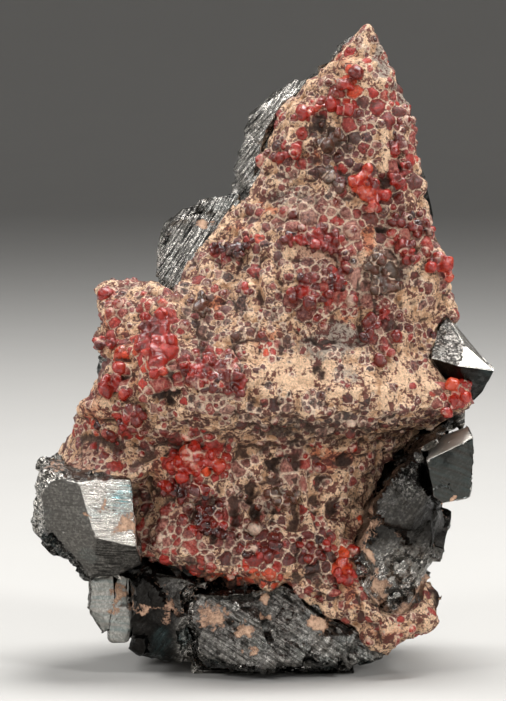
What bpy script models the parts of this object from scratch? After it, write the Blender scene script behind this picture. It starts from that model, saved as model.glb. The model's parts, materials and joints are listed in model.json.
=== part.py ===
"""Andradite garnets on a hematite matrix, a free-standing mineral specimen.

The frame is in metres, +Z up, with the show face towards -Y and the origin on the surface it stands on.
Shapes are described in millimetres, and MM turns them into metres where a mesh is made.

A hematite mass carries everything. Larger hematite crystals sit in sockets of the mass, one garnet crust
covers the show face, and bunches of bigger garnets are seated on the crust.
"""

import math
import random

import bmesh
import bpy
from mathutils import Euler, Matrix, Vector, noise

MM = 0.001

# Driving dimensions, in millimetres.
SEAT_GAP = 0.3  # clearance between two pieces that touch
CRUST_THICKNESS = 1.4
GRID_STEP = 1.7  # spacing of the crust's surface points
SHEET_X = (-22.0, 22.0)  # what the sheets cover, seen from the front
SHEET_Z = (-1.0, 57.0)
FRONT_REACH = 60.0  # how far a cutter runs past the specimen
END_MARGIN = 0.4  # the crust's width is not read nearer than this to its two ends
SMOOTHING_STEPS = (-1.6, -0.8, 0, 0.8, 1.6)  # heights over which the crust's edges are averaged

# Show face: how far forward (-Y) the crust stands along the middle of the specimen, by height.
FRONT_PROFILE = (
    (-2, -8.0), (2, -9.0), (4, -9.8), (6, -10.6), (8.5, -11.0), (11, -9.6), (14, -7.2), (17, -6.2),
    (19.5, -6.4), (20.6, -8.4), (22, -11.3), (23.5, -12.0), (26, -11.2), (29, -9.2), (32, -7.8),
    (36, -6.4), (40, -5.0), (45, -3.6), (50, -2.0), (53, -0.8), (57, 0.4),
)
ROLL_BACK = 0.42  # how far the crust's sides curve back, as a share of its half width
ROLL_POWER = 2.6
MOST_ROLL = 1.35
ROUGHNESS = 0.35
ROUGHNESS_SCALE = 0.45

# Local swells of the crust: (x, z), (half width, half height), how far it stands forward.
SWELLS = {
    "dome": ((3.8, 34.4), (3.9, 4.2), 1.5),
    "red_ridge": ((-9.0, 27.4), (2.0, 3.4), 2.0),
    "wine_ridge": ((-4.6, 25.4), (3.6, 1.5), 0.9),
    "red_knot": ((-5.9, 17.0), (3.2, 2.4), 3.0),
    "left_rib": ((-7.4, 11.6), (3.2, 5.0), 2.6),
    "low_bulge": ((1.0, 10.4), (5.5, 2.0), 0.8),
    "left_shoulder": ((-13.2, 29.0), (1.8, 5.0), 1.8),
    "left_wing": ((-14.8, 17.6), (4.2, 2.3), 5.2),
    "right_edge": ((15.0, 34.4), (2.2, 2.4), 1.8),
    "spike": ((16.4, 23.6), (2.0, 1.6), 2.2),
    "foot": ((11.6, 3.0), (3.6, 2.0), 0.8),
}

# The crust's outline from the front, clockwise from the tip, as (x, z).
RIGHT_EDGE = (
    (9.0, 54.8), (9.8, 53.7), (10.4, 51.8), (11.6, 49.4), (12.5, 47.6), (13.0, 44.7), (13.6, 42.2),
    (13.9, 39.6), (14.7, 37.0), (15.3, 35.3), (15.9, 32.7), (16.5, 31.0), (16.5, 29.6), (15.6, 29.2),
    (14.6, 27.4), (14.3, 26.0), (15.4, 24.9), (17.0, 24.4), (17.8, 23.2), (17.1, 21.9), (15.6, 21.0),
    (13.9, 20.1), (12.2, 18.6), (10.7, 17.2), (9.5, 15.2), (8.3, 12.8), (7.6, 10.7),
)
FOOT = (
    (7.7, 9.4), (8.5, 7.0), (9.9, 5.3), (11.7, 5.0), (13.6, 5.8), (14.5, 7.4), (15.1, 6.2), (14.6, 4.9),
    (13.3, 3.8), (11.6, 2.8), (10.4, 2.0), (9.1, 2.5), (7.5, 3.9), (5.7, 5.4), (3.4, 7.0),
)
LOWER_LIP = (
    (1.9, 8.3), (-0.1, 7.4), (-2.8, 7.4), (-5.0, 8.2), (-7.1, 9.0), (-9.5, 9.3), (-10.6, 10.6),
    (-11.0, 12.8), (-11.2, 15.4), (-11.5, 16.8), (-13.1, 16.9), (-15.3, 17.2), (-17.2, 17.7),
)
LEFT_EDGE = (
    (-17.7, 18.2), (-17.0, 19.2), (-16.1, 20.2), (-15.8, 21.3), (-15.0, 22.9), (-14.1, 24.2),
    (-13.8, 25.3), (-12.9, 26.5), (-14.1, 27.3), (-14.4, 28.5), (-13.8, 29.7), (-14.2, 31.0),
    (-14.1, 32.4), (-11.4, 33.0), (-9.0, 32.9), (-7.5, 31.8), (-6.3, 34.4), (-4.7, 36.9), (-2.7, 38.9),
    (-1.1, 40.0), (-0.1, 42.8), (0.6, 45.3), (1.7, 47.6), (3.6, 49.4), (5.3, 51.2), (7.0, 53.0),
)
CRUST_OUTLINE = RIGHT_EDGE + FOOT + LOWER_LIP + LEFT_EDGE

# Blocks of massive hematite that have grown into one: outline from the front as (x, z), then the
# front and back depth, and how its ends lean with x and z.
MASSIVE_BLOCKS = {
    "spire": (
        ((8.8, 54.2), (6.6, 52.9), (3.2, 50.3), (-0.6, 47.5), (-2.4, 41.7), (-1.2, 31.0),
         (11.8, 28.8), (14.6, 37.6), (12.6, 47.0), (9.9, 52.8)),
        (-1.2, 7.6), (-0.06, 0.10),
    ),
    "left_wing": (
        ((-2.5, 41.0), (-5.9, 39.0), (-8.5, 37.5), (-9.2, 34.6), (-7.6, 28.8), (-1.2, 26.3),
         (3.0, 31.5), (2.4, 39.0)),
        (0.6, 8.2), (-0.16, 0.05),
    ),
    "middle": (
        ((-8.8, 31.6), (2.0, 36.4), (14.2, 34.0), (17.0, 26.0), (17.0, 20.0), (14.8, 12.0),
         (10.0, 6.0), (-9.0, 6.0), (-11.8, 16.0), (-12.6, 22.9)),
        (-6.5, 11.0), (0.05, 0.12),
    ),
    "shoulder": (
        ((-13.5, 31.9), (-9.8, 32.4), (-5.4, 28.8), (-6.4, 15.4), (-13.4, 12.4), (-15.2, 15.4),
         (-15.0, 20.4), (-13.2, 23.6), (-13.2, 28.6)),
        (-2.6, 7.4), (-0.10, 0.04),
    ),
    "right_body": (
        ((9.2, 20.2), (15.4, 21.2), (16.6, 17.0), (15.8, 12.0), (14.8, 8.2), (14.0, 4.8), (10.8, 1.6),
         (7.0, 2.0), (6.4, 12.6)),
        (-7.4, 8.4), (0.10, 0.06),
    ),
    "right_shelf": (
        ((9.4, 16.6), (12.2, 19.2), (15.0, 21.0), (16.4, 20.0), (16.2, 15.2), (12.6, 12.0), (8.8, 12.6)),
        (-8.4, 4.0), (0.06, 0.04),
    ),
    "back_ridge": (
        ((-1.0, 40.5), (5.0, 45.0), (10.6, 39.4), (11.8, 24.0), (8.0, 9.0), (-4.0, 8.0),
         (-8.4, 20.0), (-6.0, 31.0)),
        (2.0, 12.7), (-0.10, 0.02),
    ),
    "left_foot": (
        ((-11.8, 8.8), (-5.4, 9.8), (-3.6, 1.6), (-6.4, 0.5), (-10.0, 1.0), (-12.0, 2.4)),
        (-8.6, 6.4), (-0.04, 0.02),
    ),
    "heel": (
        ((-13.4, 8.6), (-8.0, 9.4), (-8.0, 1.8), (-11.6, 1.6), (-13.4, 3.8)),
        (-3.0, 5.6), (0.0, 0.0),
    ),
    "base": (
        ((-11.6, 7.2), (-12.6, 10.4), (-4.0, 12.6), (9.0, 12.0), (13.4, 6.6), (11.0, 2.4),
         (7.6, 0.5), (-6.2, 0.5), (-9.6, 1.6)),
        (-9.0, 10.2), (-0.02, 0.0),
    ),
}
BLOCK_WAIST = 0.80  # size of a block's two ends against its middle
FOOT_HALF = (7.0, 7.0)  # half width and half depth of the flat break that the specimen stands on
FOOT_CENTRE = (0.8, -0.4)
FOOT_HEIGHT = 5.0
FOOT_FLARE = 1.1  # size of the foot's top against its flat break

# Hematite crystals that stand out of the mass: their corners as (x, y, z).
CRYSTALS = {
    "hematite_crystal_left": (
        (-15.3, -12.0, 16.8), (-14.0, -12.2, 12.3), (-11.1, -9.6, 16.9), (-10.6, -10.8, 11.3),
        (-16.7, -11.6, 17.1), (-17.6, -11.2, 17.0), (-18.6, -10.5, 15.6), (-18.3, -10.2, 12.8),
        (-10.2, -9.6, 9.7), (-12.2, -9.9, 8.8), (-14.5, -9.8, 8.6), (-15.3, -8.6, 8.6),
        (-18.6, -7.2, 11.3), (-18.8, -5.0, 18.4), (-19.3, -6.2, 17.4), (-19.4, -6.4, 15.6),
        (-19.5, -6.0, 12.5), (-17.4, 2.0, 17.8), (-12.0, 1.0, 16.4), (-11.6, 1.0, 9.2),
        (-14.8, 1.0, 8.6), (-18.6, 0.0, 12.6),
    ),
    "hematite_crystal_right": (
        (15.8, -2.2, 30.1), (15.1, -3.3, 29.3), (14.5, -5.2, 27.9), (14.3, -6.6, 26.8),
        (16.5, -7.0, 26.2), (17.1, -4.9, 27.8), (18.0, -3.6, 27.4), (19.5, -5.9, 25.7),
        (19.2, -5.2, 24.9), (18.7, -4.2, 23.7), (18.0, -3.4, 22.9), (15.4, -5.2, 25.1),
        (16.4, 1.2, 29.4), (16.0, 4.0, 28.4), (18.8, 2.6, 25.6), (17.6, 3.6, 22.8), (14.6, 4.0, 24.4),
    ),
    "hematite_crystal_lower_right": (
        (13.8, -8.8, 18.4), (16.9, -8.1, 19.8), (17.8, -7.4, 20.2), (17.8, -7.2, 18.7),
        (17.5, -7.0, 15.0), (15.2, -8.2, 14.7), (14.4, -8.6, 15.3), (14.0, -8.8, 16.9),
        (14.2, -6.6, 19.3), (17.4, -5.8, 20.9),
        (12.8, 3.0, 18.2), (17.6, 4.6, 19.8), (17.2, 4.6, 15.2), (13.6, 3.6, 14.8),
    ),
    "hematite_crystal_base": (
        (-6.2, -8.2, 6.9), (-3.7, -9.4, 7.1), (-1.1, -9.8, 7.5), (1.8, -9.6, 8.0), (5.8, -9.4, 5.3),
        (10.5, -8.0, 2.1), (9.4, -8.4, 1.3), (7.0, -10.0, 1.0), (3.8, -11.2, 0.9), (-1.3, -11.8, 1.3),
        (-4.9, -10.2, 1.5), (-5.8, -9.2, 4.4),
        (-6.0, -6.4, 6.6), (2.0, -6.2, 7.6), (5.6, -6.2, 5.0), (9.6, -5.6, 1.7), (-5.2, -6.2, 0.9),
        (6.0, -6.0, 0.4),
    ),
    "hematite_plate_outer": (
        (-14.5, -3.8, 7.5), (-13.0, -4.6, 7.6), (-12.9, -4.8, 6.0), (-13.3, -4.7, 3.2), (-13.7, -4.4, 2.9),
        (-14.7, -3.7, 4.4), (-14.3, 3.4, 7.2), (-13.6, 4.0, 7.2), (-13.9, 3.6, 3.6), (-14.5, 3.0, 4.4),
    ),
    "hematite_plate_inner": (
        (-12.5, -4.6, 7.7), (-11.7, -5.2, 7.6), (-11.4, -5.3, 4.0), (-11.7, -5.3, 2.4), (-13.0, -4.9, 2.4),
        (-12.9, -4.8, 3.2), (-13.2, 2.8, 7.2), (-12.0, 3.0, 7.2), (-11.9, 2.6, 3.0), (-13.4, 2.6, 3.4),
    ),
    "hematite_blade_upper_left": (
        (-2.1, -0.8, 40.4), (-4.3, -0.4, 40.0), (-8.2, 0.4, 37.9), (-9.1, 0.8, 35.7), (-9.2, 0.4, 33.6),
        (-8.4, -1.6, 31.4), (-6.6, -2.8, 32.4), (-4.3, -2.6, 35.4), (-1.8, -1.8, 38.8),
        (-3.2, 2.0, 39.4), (-8.0, 2.4, 37.0), (-8.4, 2.2, 33.2), (-4.0, 1.6, 34.6),
    ),
}

# Bunches of larger garnets: each crystal as (x, z, radius), seen from the front.
BUNCHES = {
    "garnets_tip": ((7.1, 49.9, 0.75), (7.9, 50.8, 0.6)),
    "garnets_tip_left": ((6.9, 47.6, 0.8), (5.7, 48.2, 0.6), (3.7, 47.4, 0.7)),
    "garnets_upper_dark": ((5.3, 44.7, 0.8), (6.3, 45.4, 0.7)),
    "garnets_upper_left": ((1.3, 43.6, 0.7), (2.7, 44.0, 0.75)),
    "garnets_upper_edge": ((11.5, 45.8, 0.8), (11.1, 44.4, 0.75), (12.0, 44.4, 0.55)),
    "garnets_upper_red": (
        (8.7, 42.2, 0.8), (8.0, 41.1, 0.9), (9.4, 40.9, 0.7), (9.3, 39.4, 0.8), (10.1, 40.4, 0.65),
    ),
    "garnet_grey_bead": ((5.5, 42.0, 0.9), (6.3, 41.0, 0.6)),
    "garnets_edge_beads": ((12.2, 42.8, 0.65), (11.3, 41.7, 0.85)),
    "garnets_right_column": (
        (11.1, 38.2, 0.6), (12.3, 38.4, 0.7), (13.0, 37.4, 0.7), (14.1, 37.4, 0.6),
    ),
    "garnets_right_wine": ((12.0, 35.9, 1.0), (12.5, 34.9, 0.7)),
    "garnets_right_red": ((14.2, 34.4, 0.7), (15.2, 34.7, 0.95), (15.7, 33.7, 0.7)),
    "garnets_grey_knot": (
        (9.7, 34.9, 0.9), (9.1, 34.2, 0.7), (10.3, 33.6, 0.6), (9.5, 32.2, 0.7), (11.4, 32.6, 0.6),
    ),
    "garnets_dome_top": (
        (2.1, 36.5, 0.7), (3.4, 37.2, 0.7), (4.9, 37.2, 0.7), (6.1, 36.6, 0.7), (6.8, 35.3, 0.7),
        (4.3, 35.9, 0.6),
    ),
    "garnets_dome_foot": (
        (6.9, 34.0, 0.7), (6.4, 32.7, 0.7), (5.3, 31.6, 0.7), (3.9, 31.2, 0.7), (2.5, 31.8, 0.65),
        (3.4, 33.2, 0.6), (5.1, 33.4, 0.6),
    ),
    "garnets_left_row": (
        (-4.0, 35.8, 0.7), (-2.7, 35.8, 0.7), (-1.3, 36.3, 0.6), (-1.9, 35.3, 0.6),
    ),
    "garnets_middle_grey": ((-5.1, 30.6, 0.8), (-5.2, 31.6, 0.55)),
    "garnet_middle_dark": ((-1.5, 32.1, 0.7),),
    "garnets_red_ridge": (
        (-8.6, 29.8, 0.95), (-9.8, 29.5, 0.8), (-9.2, 28.4, 0.75), (-9.2, 26.8, 1.05), (-10.2, 27.2, 0.6),
        (-8.8, 25.6, 0.95), (-7.9, 27.8, 0.65),
    ),
    "garnets_wine_ridge": (
        (-6.6, 25.9, 0.85), (-5.9, 24.9, 0.8), (-4.6, 25.9, 0.85), (-4.0, 24.5, 0.8), (-2.8, 26.1, 0.7),
        (-2.7, 25.1, 0.7), (-1.8, 24.8, 0.6), (-5.2, 24.2, 0.65), (-2.0, 23.7, 0.65),
    ),
    "garnet_left_knob": ((-13.5, 31.9, 0.6),),
    "garnets_left_pair": ((-13.8, 27.7, 0.75), (-12.9, 27.6, 0.55)),
    "garnets_left_bead": ((-13.2, 24.1, 1.0), (-12.1, 25.5, 0.6), (-11.7, 23.6, 0.6)),
    "garnets_left_wine": ((-10.9, 21.8, 1.15), (-10.2, 20.4, 0.7), (-11.8, 20.8, 0.7)),
    "garnets_left_low": ((-13.6, 20.7, 0.7), (-12.9, 20.2, 0.65)),
    "garnets_red_knot": (
        (-6.0, 18.5, 1.1), (-7.3, 17.5, 0.85), (-4.6, 17.9, 1.0), (-5.6, 17.2, 0.75), (-6.8, 16.6, 0.55),
        (-3.9, 17.4, 0.7),
    ),
    "garnets_low_wine": ((-8.0, 15.6, 0.9), (-5.8, 15.4, 0.8), (-4.9, 15.2, 0.6), (-6.9, 14.8, 0.6)),
    "garnets_low_pink": (
        (-5.1, 13.4, 0.75), (-3.8, 13.9, 0.65), (-5.8, 12.0, 0.6), (-4.2, 12.3, 0.75), (-3.1, 11.4, 0.6),
    ),
    "garnets_low_dark_left": ((-1.5, 10.2, 0.75), (-0.6, 10.4, 0.65), (0.2, 9.9, 0.75), (0.9, 10.4, 0.8)),
    "garnets_low_dark_right": ((3.5, 10.6, 0.75), (4.5, 9.9, 0.75), (5.3, 10.6, 0.6), (3.9, 9.5, 0.6)),
    "garnets_low_orange": ((6.8, 8.8, 0.8), (6.3, 8.1, 0.6), (7.1, 7.9, 0.6)),
    "garnets_low_grey": ((1.5, 14.3, 0.95), (0.7, 15.0, 0.65), (2.6, 14.7, 0.65)),
    "garnets_right_low_wine": ((8.9, 29.7, 0.7), (8.7, 28.3, 0.7), (10.2, 30.1, 0.55)),
    "garnets_right_low_red": ((9.8, 26.3, 0.6), (10.5, 27.0, 0.6)),
    "garnets_spike": ((16.0, 24.0, 0.65), (16.8, 23.2, 0.65), (15.6, 22.2, 0.6)),
}
POINT_REACH = 1.08  # a garnet's sharpest corners, against its radius
STANDING = 0.25  # how far a garnet's centre stands out of the crust, as a share of its radius
SIGHT_FALL = math.tan(math.radians(4.5))  # a bunch's places follow a line of sight that falls this much
SIGHT_DEPTH = -2.0  # where that line of sight meets the height that is given
BED_SHARE = 0.5  # size of the grown-together bed under a bunch, against its crystals
BED_STEPS = ((-1, 0, 0), (1, 0, 0), (0, 0, -1), (0, 0, 1), (0, 1.6, 0))
FLAT_WITHIN = math.radians(20)  # faces of a seat that differ by less are made one

COLOURS = {
    "hematite": ((0.05, 0.052, 0.058), 0.28, 1.0),
    "crust": ((0.62, 0.42, 0.28), 0.9, 0.0),
    "red": ((0.42, 0.02, 0.012), 0.25, 0.0),
    "wine": ((0.16, 0.03, 0.028), 0.35, 0.0),
    "grey": ((0.08, 0.065, 0.06), 0.4, 0.0),
}
RED_BUNCHES = {
    "garnets_tip", "garnets_tip_left", "garnets_upper_red", "garnets_right_red", "garnets_red_ridge",
    "garnet_left_knob", "garnets_left_bead", "garnets_red_knot", "garnets_low_orange", "garnets_spike",
}
GREY_BUNCHES = {
    "garnets_upper_dark", "garnet_grey_bead", "garnets_grey_knot", "garnets_middle_grey", "garnets_low_grey",
}


def along(table, at):
    """Value at a place in a table of (place, value), on a smooth curve through its entries."""
    at = min(max(at, table[0][0]), table[-1][0])
    last = len(table) - 2
    i = next((k for k in range(last) if at < table[k + 1][0]), last)
    (t0, v0), (t1, v1) = table[i], table[i + 1]
    before, after = table[max(i - 1, 0)], table[min(i + 2, last + 1)]
    slope0 = (v1 - before[1]) / (t1 - before[0])
    slope1 = (after[1] - v0) / (after[0] - t0)
    width = t1 - t0
    u = (at - t0) / width
    return (
        v0 * (1 + 2 * u) * (1 - u) ** 2
        + v1 * u * u * (3 - 2 * u)
        + slope0 * width * u * (1 - u) ** 2
        - slope1 * width * u * u * (1 - u)
    )


def span_at(outline, z):
    """Leftmost and rightmost x of an outline at one height."""
    crossings = []
    for (x0, z0), (x1, z1) in zip(outline, outline[1:] + outline[:1]):
        if (z0 <= z) != (z1 <= z):
            crossings.append(x0 + (x1 - x0) * (z - z0) / (z1 - z0))
    return min(crossings), max(crossings)


def crust_span(z):
    """Edges of the crust at one height, smoothed over its neighbours."""
    heights = [point[1] for point in CRUST_OUTLINE]
    bottom, top = min(heights) + END_MARGIN, max(heights) - END_MARGIN
    spans = [span_at(CRUST_OUTLINE, min(max(z + step, bottom), top)) for step in SMOOTHING_STEPS]
    return tuple(sum(span[side] for span in spans) / len(spans) for side in (0, 1))


def crust_front(x, z):
    """Depth of the crust's show face, y in millimetres, at a place seen from the front."""
    left, right = crust_span(z)
    half = (right - left) / 2
    side = min(abs(x - (left + right) / 2) / half, MOST_ROLL)
    y = along(FRONT_PROFILE, z) + ROLL_BACK * half * side**ROLL_POWER
    for (cx, cz), (half_x, half_z), height in SWELLS.values():
        y -= height * math.exp(-(((x - cx) / half_x) ** 2) - ((z - cz) / half_z) ** 2)
    return y + ROUGHNESS * noise.noise(Vector((x, 0, z)) * ROUGHNESS_SCALE)


def grown_outline(outline, distance):
    """A clockwise outline moved outwards by a distance, corner by corner."""
    grown = []
    for i, here in enumerate(outline):
        before, after = Vector(outline[i - 1]), Vector(outline[(i + 1) % len(outline)])
        middle = Vector(here)
        sides = (middle - before, after - middle)
        normals = [Vector((-side.y, side.x)).normalized() for side in sides]
        bisector = (normals[0] + normals[1]).normalized()
        grown.append(tuple(middle + bisector * distance))
    return grown


def material_of(kind):
    """The Principled material of one kind of mineral, made once."""
    material = bpy.data.materials.get(kind)
    if material:
        return material
    colour, roughness, metallic = COLOURS[kind]
    material = bpy.data.materials.new(kind)
    material.use_nodes = True
    shader = material.node_tree.nodes["Principled BSDF"]
    shader.inputs["Base Color"].default_value = (*colour, 1)
    shader.inputs["Roughness"].default_value = roughness
    shader.inputs["Metallic"].default_value = metallic
    return material


def place(mesh_shape, name, parent, kind=None):
    """Makes an object of a bmesh in millimetres, its origin at its middle, and hangs it on the parent."""
    middle = sum((v.co for v in mesh_shape.verts), Vector()) / len(mesh_shape.verts)
    mesh_shape.transform(Matrix.Scale(MM, 4) @ Matrix.Translation(-middle))
    mesh = bpy.data.meshes.new(name)
    mesh_shape.to_mesh(mesh)
    mesh_shape.free()
    obj = bpy.data.objects.new(name, mesh)
    obj.location = middle * MM
    obj.parent = parent
    bpy.context.scene.collection.objects.link(obj)
    if kind:
        mesh.materials.append(material_of(kind))
    else:
        obj.hide_render = True
        obj.display_type = "WIRE"
    return obj


def boolean(obj, operation, other, whole=False):
    """Adds a Boolean modifier. With whole, the object's own overlapping shells are joined as well."""
    modifier = obj.modifiers.new(f"{operation.lower()} {other.name}", "BOOLEAN")
    modifier.operation = operation
    modifier.object = other
    modifier.solver = "EXACT"
    modifier.use_self = whole


def merge_flat(obj, angle):
    """Makes neighbouring faces one where they differ by less than an angle."""
    modifier = obj.modifiers.new("merge flat faces", "DECIMATE")
    modifier.decimate_type = "DISSOLVE"
    modifier.angle_limit = angle


def add_hull(shape, points):
    """Adds the convex solid of some corners to a bmesh."""
    corners = [shape.verts.new(point) for point in points]
    hull = bmesh.ops.convex_hull(shape, input=corners)
    unused = {v for v in hull["geom_interior"] + hull["geom_unused"] if isinstance(v, bmesh.types.BMVert)}
    bmesh.ops.delete(shape, geom=list(unused), context="VERTS")


def faces_out(shape):
    """Turns every face of a closed shape outwards."""
    bmesh.ops.recalc_face_normals(shape, faces=shape.faces)


def grid_lines(low, high):
    """Places of the grid lines between two limits."""
    return [low + GRID_STEP * i for i in range(int((high - low) / GRID_STEP) + 1)]


def sheet_between(front, back):
    """A closed slab over the whole show face, between two depths that depend on x and z."""
    shape = bmesh.new()
    columns = grid_lines(*SHEET_X)
    rows = grid_lines(*SHEET_Z)
    sides = [
        [[shape.verts.new((x, depth(x, z), z)) for x in columns] for z in rows]
        for depth in (front, back)
    ]
    for near in sides:
        for lower, upper in zip(near, near[1:]):
            for i in range(len(columns) - 1):
                shape.faces.new((lower[i], lower[i + 1], upper[i + 1]))
                shape.faces.new((lower[i], upper[i + 1], upper[i]))
    rims = [
        near[0] + [row[-1] for row in near[1:]] + near[-1][-2::-1] + [row[0] for row in near[-2:0:-1]]
        for near in sides
    ]
    for i in range(len(rims[0])):
        shape.faces.new((rims[0][i - 1], rims[0][i], rims[1][i], rims[1][i - 1]))
    faces_out(shape)
    return shape


def prism(outline, near, far):
    """A closed prism of a front outline, from one depth to another."""
    shape = bmesh.new()
    rings = [[shape.verts.new((x, y, z)) for x, z in outline] for y in (near, far)]
    for ring in rings:
        shape.faces.new(ring)
    for i in range(len(outline)):
        shape.faces.new((rings[0][i - 1], rings[0][i], rings[1][i], rings[1][i - 1]))
    faces_out(shape)
    return shape


def block_corners(outline, depths, lean):
    """Corners of a blocky mass: full size in the middle of its depth and drawn in at both ends."""
    cx = sum(x for x, _ in outline) / len(outline)
    cz = sum(z for _, z in outline) / len(outline)
    front, back = depths
    corners = []
    for share, size in ((0, BLOCK_WAIST), (0.3, 1), (0.62, 1), (1, BLOCK_WAIST)):
        y = front + (back - front) * share
        for x, z in outline:
            dx, dz = (x - cx) * size, (z - cz) * size
            corners.append((cx + dx, y + lean[0] * dx + lean[1] * dz, cz + dz))
    return corners


def fatten(shape, distance):
    """Moves each face of a closed shape out by a distance."""
    shape.normal_update()
    moves = [v.normal * distance * v.calc_shell_factor() for v in shape.verts]
    for v, move in zip(shape.verts, moves):
        v.co += move


def garnet_corners(centre, radius, turn):
    """Corners of a rhombic dodecahedron, the commonest shape of garnet."""
    reach = radius * POINT_REACH
    corners = [Vector((x, y, z)) * reach / 2 for x in (-1, 1) for y in (-1, 1) for z in (-1, 1)]
    axes = (Vector((1, 0, 0)), Vector((0, 1, 0)), Vector((0, 0, 1)))
    corners += [axis * reach * sign for axis in axes for sign in (-1, 1)]
    turned = Euler(turn).to_matrix()
    return [Vector(centre) + turned @ corner for corner in corners]


def build_crust(parent):
    """The garnet druse: one continuous sheet over the show face."""
    sheet = sheet_between(crust_front, lambda x, z: crust_front(x, z) + CRUST_THICKNESS)
    crust = place(sheet, "garnet_crust", parent, "crust")
    outline = place(prism(CRUST_OUTLINE, -FRONT_REACH, FRONT_REACH), "crust_outline", parent)
    boolean(crust, "INTERSECT", outline)
    return crust


def build_matrix(parent):
    """The massive hematite: blocks grown into one, cut back behind the crust and flat where it stands."""
    shape = bmesh.new()
    for outline, depths, lean in MASSIVE_BLOCKS.values():
        add_hull(shape, block_corners(outline, depths, lean))
    foot_x, foot_y = FOOT_CENTRE
    half_x, half_y = FOOT_HALF
    foot = [(foot_x + sx * half_x, foot_y + sy * half_y, 0) for sx in (-1, 1) for sy in (-1, 1)]
    add_hull(shape, foot + [(x * FOOT_FLARE, y * FOOT_FLARE, FOOT_HEIGHT) for x, y, _ in foot])
    faces_out(shape)
    matrix = place(shape, "hematite_matrix", parent, "hematite")
    seat_depth = CRUST_THICKNESS + SEAT_GAP
    seat_shape = sheet_between(lambda x, z: -FRONT_REACH, lambda x, z: crust_front(x, z) + seat_depth)
    seat = place(seat_shape, "crust_seat_cutter", parent)
    seat_edge = prism(grown_outline(CRUST_OUTLINE, SEAT_GAP), -2 * FRONT_REACH, FRONT_REACH)
    seat_outline = place(seat_edge, "seat_outline", parent)
    boolean(seat, "INTERSECT", seat_outline)
    boolean(matrix, "DIFFERENCE", seat, whole=True)
    return matrix


def build_crystals(parent, hosts):
    """The hematite crystals, each in a socket of the mass and of the crust."""
    for name, corners in CRYSTALS.items():
        crystal = bmesh.new()
        add_hull(crystal, corners)
        faces_out(crystal)
        place(crystal, name, parent, "hematite")
        socket = bmesh.new()
        add_hull(socket, corners)
        faces_out(socket)
        fatten(socket, SEAT_GAP)
        cutter = place(socket, name.replace("hematite", "socket"), parent)
        for host in hosts:
            boolean(host, "DIFFERENCE", cutter)


def build_bunches(parent):
    """The bunches of larger garnets, each grown into one solid and seated on the crust."""
    seat_shape = sheet_between(lambda x, z: crust_front(x, z) - SEAT_GAP, lambda x, z: FRONT_REACH)
    seat = place(seat_shape, "bunch_seat_cutter", parent)
    for number, (name, crystals) in enumerate(BUNCHES.items()):
        turns = random.Random(number)
        shape = bmesh.new()
        bed = []
        for x, height, radius in crystals:
            z = height + SIGHT_FALL * (SIGHT_DEPTH - crust_front(x, height))
            centre = Vector((x, crust_front(x, z) - SEAT_GAP - radius * STANDING, z))
            add_hull(shape, garnet_corners(centre, radius, [turns.uniform(0, math.pi) for _ in range(3)]))
            bed += [centre + Vector(step) * radius * BED_SHARE for step in BED_STEPS]
        add_hull(shape, bed)
        faces_out(shape)
        kind = "red" if name in RED_BUNCHES else "grey" if name in GREY_BUNCHES else "wine"
        bunch = place(shape, name, parent, kind)
        boolean(bunch, "DIFFERENCE", seat, whole=True)
        merge_flat(bunch, FLAT_WITHIN)


def clear_scene():
    for obj in list(bpy.data.objects):
        bpy.data.objects.remove(obj)


def main():
    clear_scene()
    specimen = bpy.data.objects.new("specimen", None)
    bpy.context.scene.collection.objects.link(specimen)
    crust = build_crust(specimen)
    matrix = build_matrix(specimen)
    build_crystals(specimen, (matrix, crust))
    build_bunches(specimen)


main()
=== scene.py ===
"""Red andradite garnets on steel-black hematite: the finished surfaces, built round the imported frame.

Everything is worked out in millimetres and written to the meshes in metres. The show face looks
towards -Y and +Z is up. Each piece keeps the place of the frame node that it stands for.
"""

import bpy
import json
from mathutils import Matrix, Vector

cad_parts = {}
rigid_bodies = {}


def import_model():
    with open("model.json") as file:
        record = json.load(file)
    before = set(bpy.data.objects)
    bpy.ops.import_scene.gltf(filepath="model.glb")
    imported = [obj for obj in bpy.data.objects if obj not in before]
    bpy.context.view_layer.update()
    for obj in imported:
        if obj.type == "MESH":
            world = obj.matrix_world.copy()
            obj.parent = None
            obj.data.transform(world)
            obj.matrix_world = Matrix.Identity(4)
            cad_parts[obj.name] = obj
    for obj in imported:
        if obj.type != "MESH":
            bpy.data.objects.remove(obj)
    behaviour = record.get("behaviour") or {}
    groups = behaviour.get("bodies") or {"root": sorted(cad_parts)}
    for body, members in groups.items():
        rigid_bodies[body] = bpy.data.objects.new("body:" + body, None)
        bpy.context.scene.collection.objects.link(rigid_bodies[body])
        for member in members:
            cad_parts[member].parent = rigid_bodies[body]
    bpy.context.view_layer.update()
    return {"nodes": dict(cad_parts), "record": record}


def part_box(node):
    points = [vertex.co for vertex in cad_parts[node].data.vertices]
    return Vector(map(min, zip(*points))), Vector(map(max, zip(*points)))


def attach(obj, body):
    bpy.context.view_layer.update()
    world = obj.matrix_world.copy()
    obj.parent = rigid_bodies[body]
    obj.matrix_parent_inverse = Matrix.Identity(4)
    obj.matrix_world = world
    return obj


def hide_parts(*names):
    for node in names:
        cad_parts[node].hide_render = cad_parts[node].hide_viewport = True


bl_info = {
    "name": "Garnet Specimen",
    "version": (1, 0, 0),
    "blender": (4, 5, 0),
    "location": "View3D > Sidebar > Specimen",
    "description": "Builds a garnet and hematite specimen with its druse, and a plain studio",
    "category": "Object",
}

import itertools
import json
import math
from functools import partial

import bmesh
import bpy
import numpy as np
from mathutils import Matrix, Vector
from mathutils.bvhtree import BVHTree
from mathutils.kdtree import KDTree

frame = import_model()

MM = 0.001
BODY = "root"
SIGHT_ANGLE = math.radians(4.5)  # how far the line of sight to the show face falls
SIGHT_DEPTH = -2.0  # the depth, y in mm, at which heights are seen true

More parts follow.
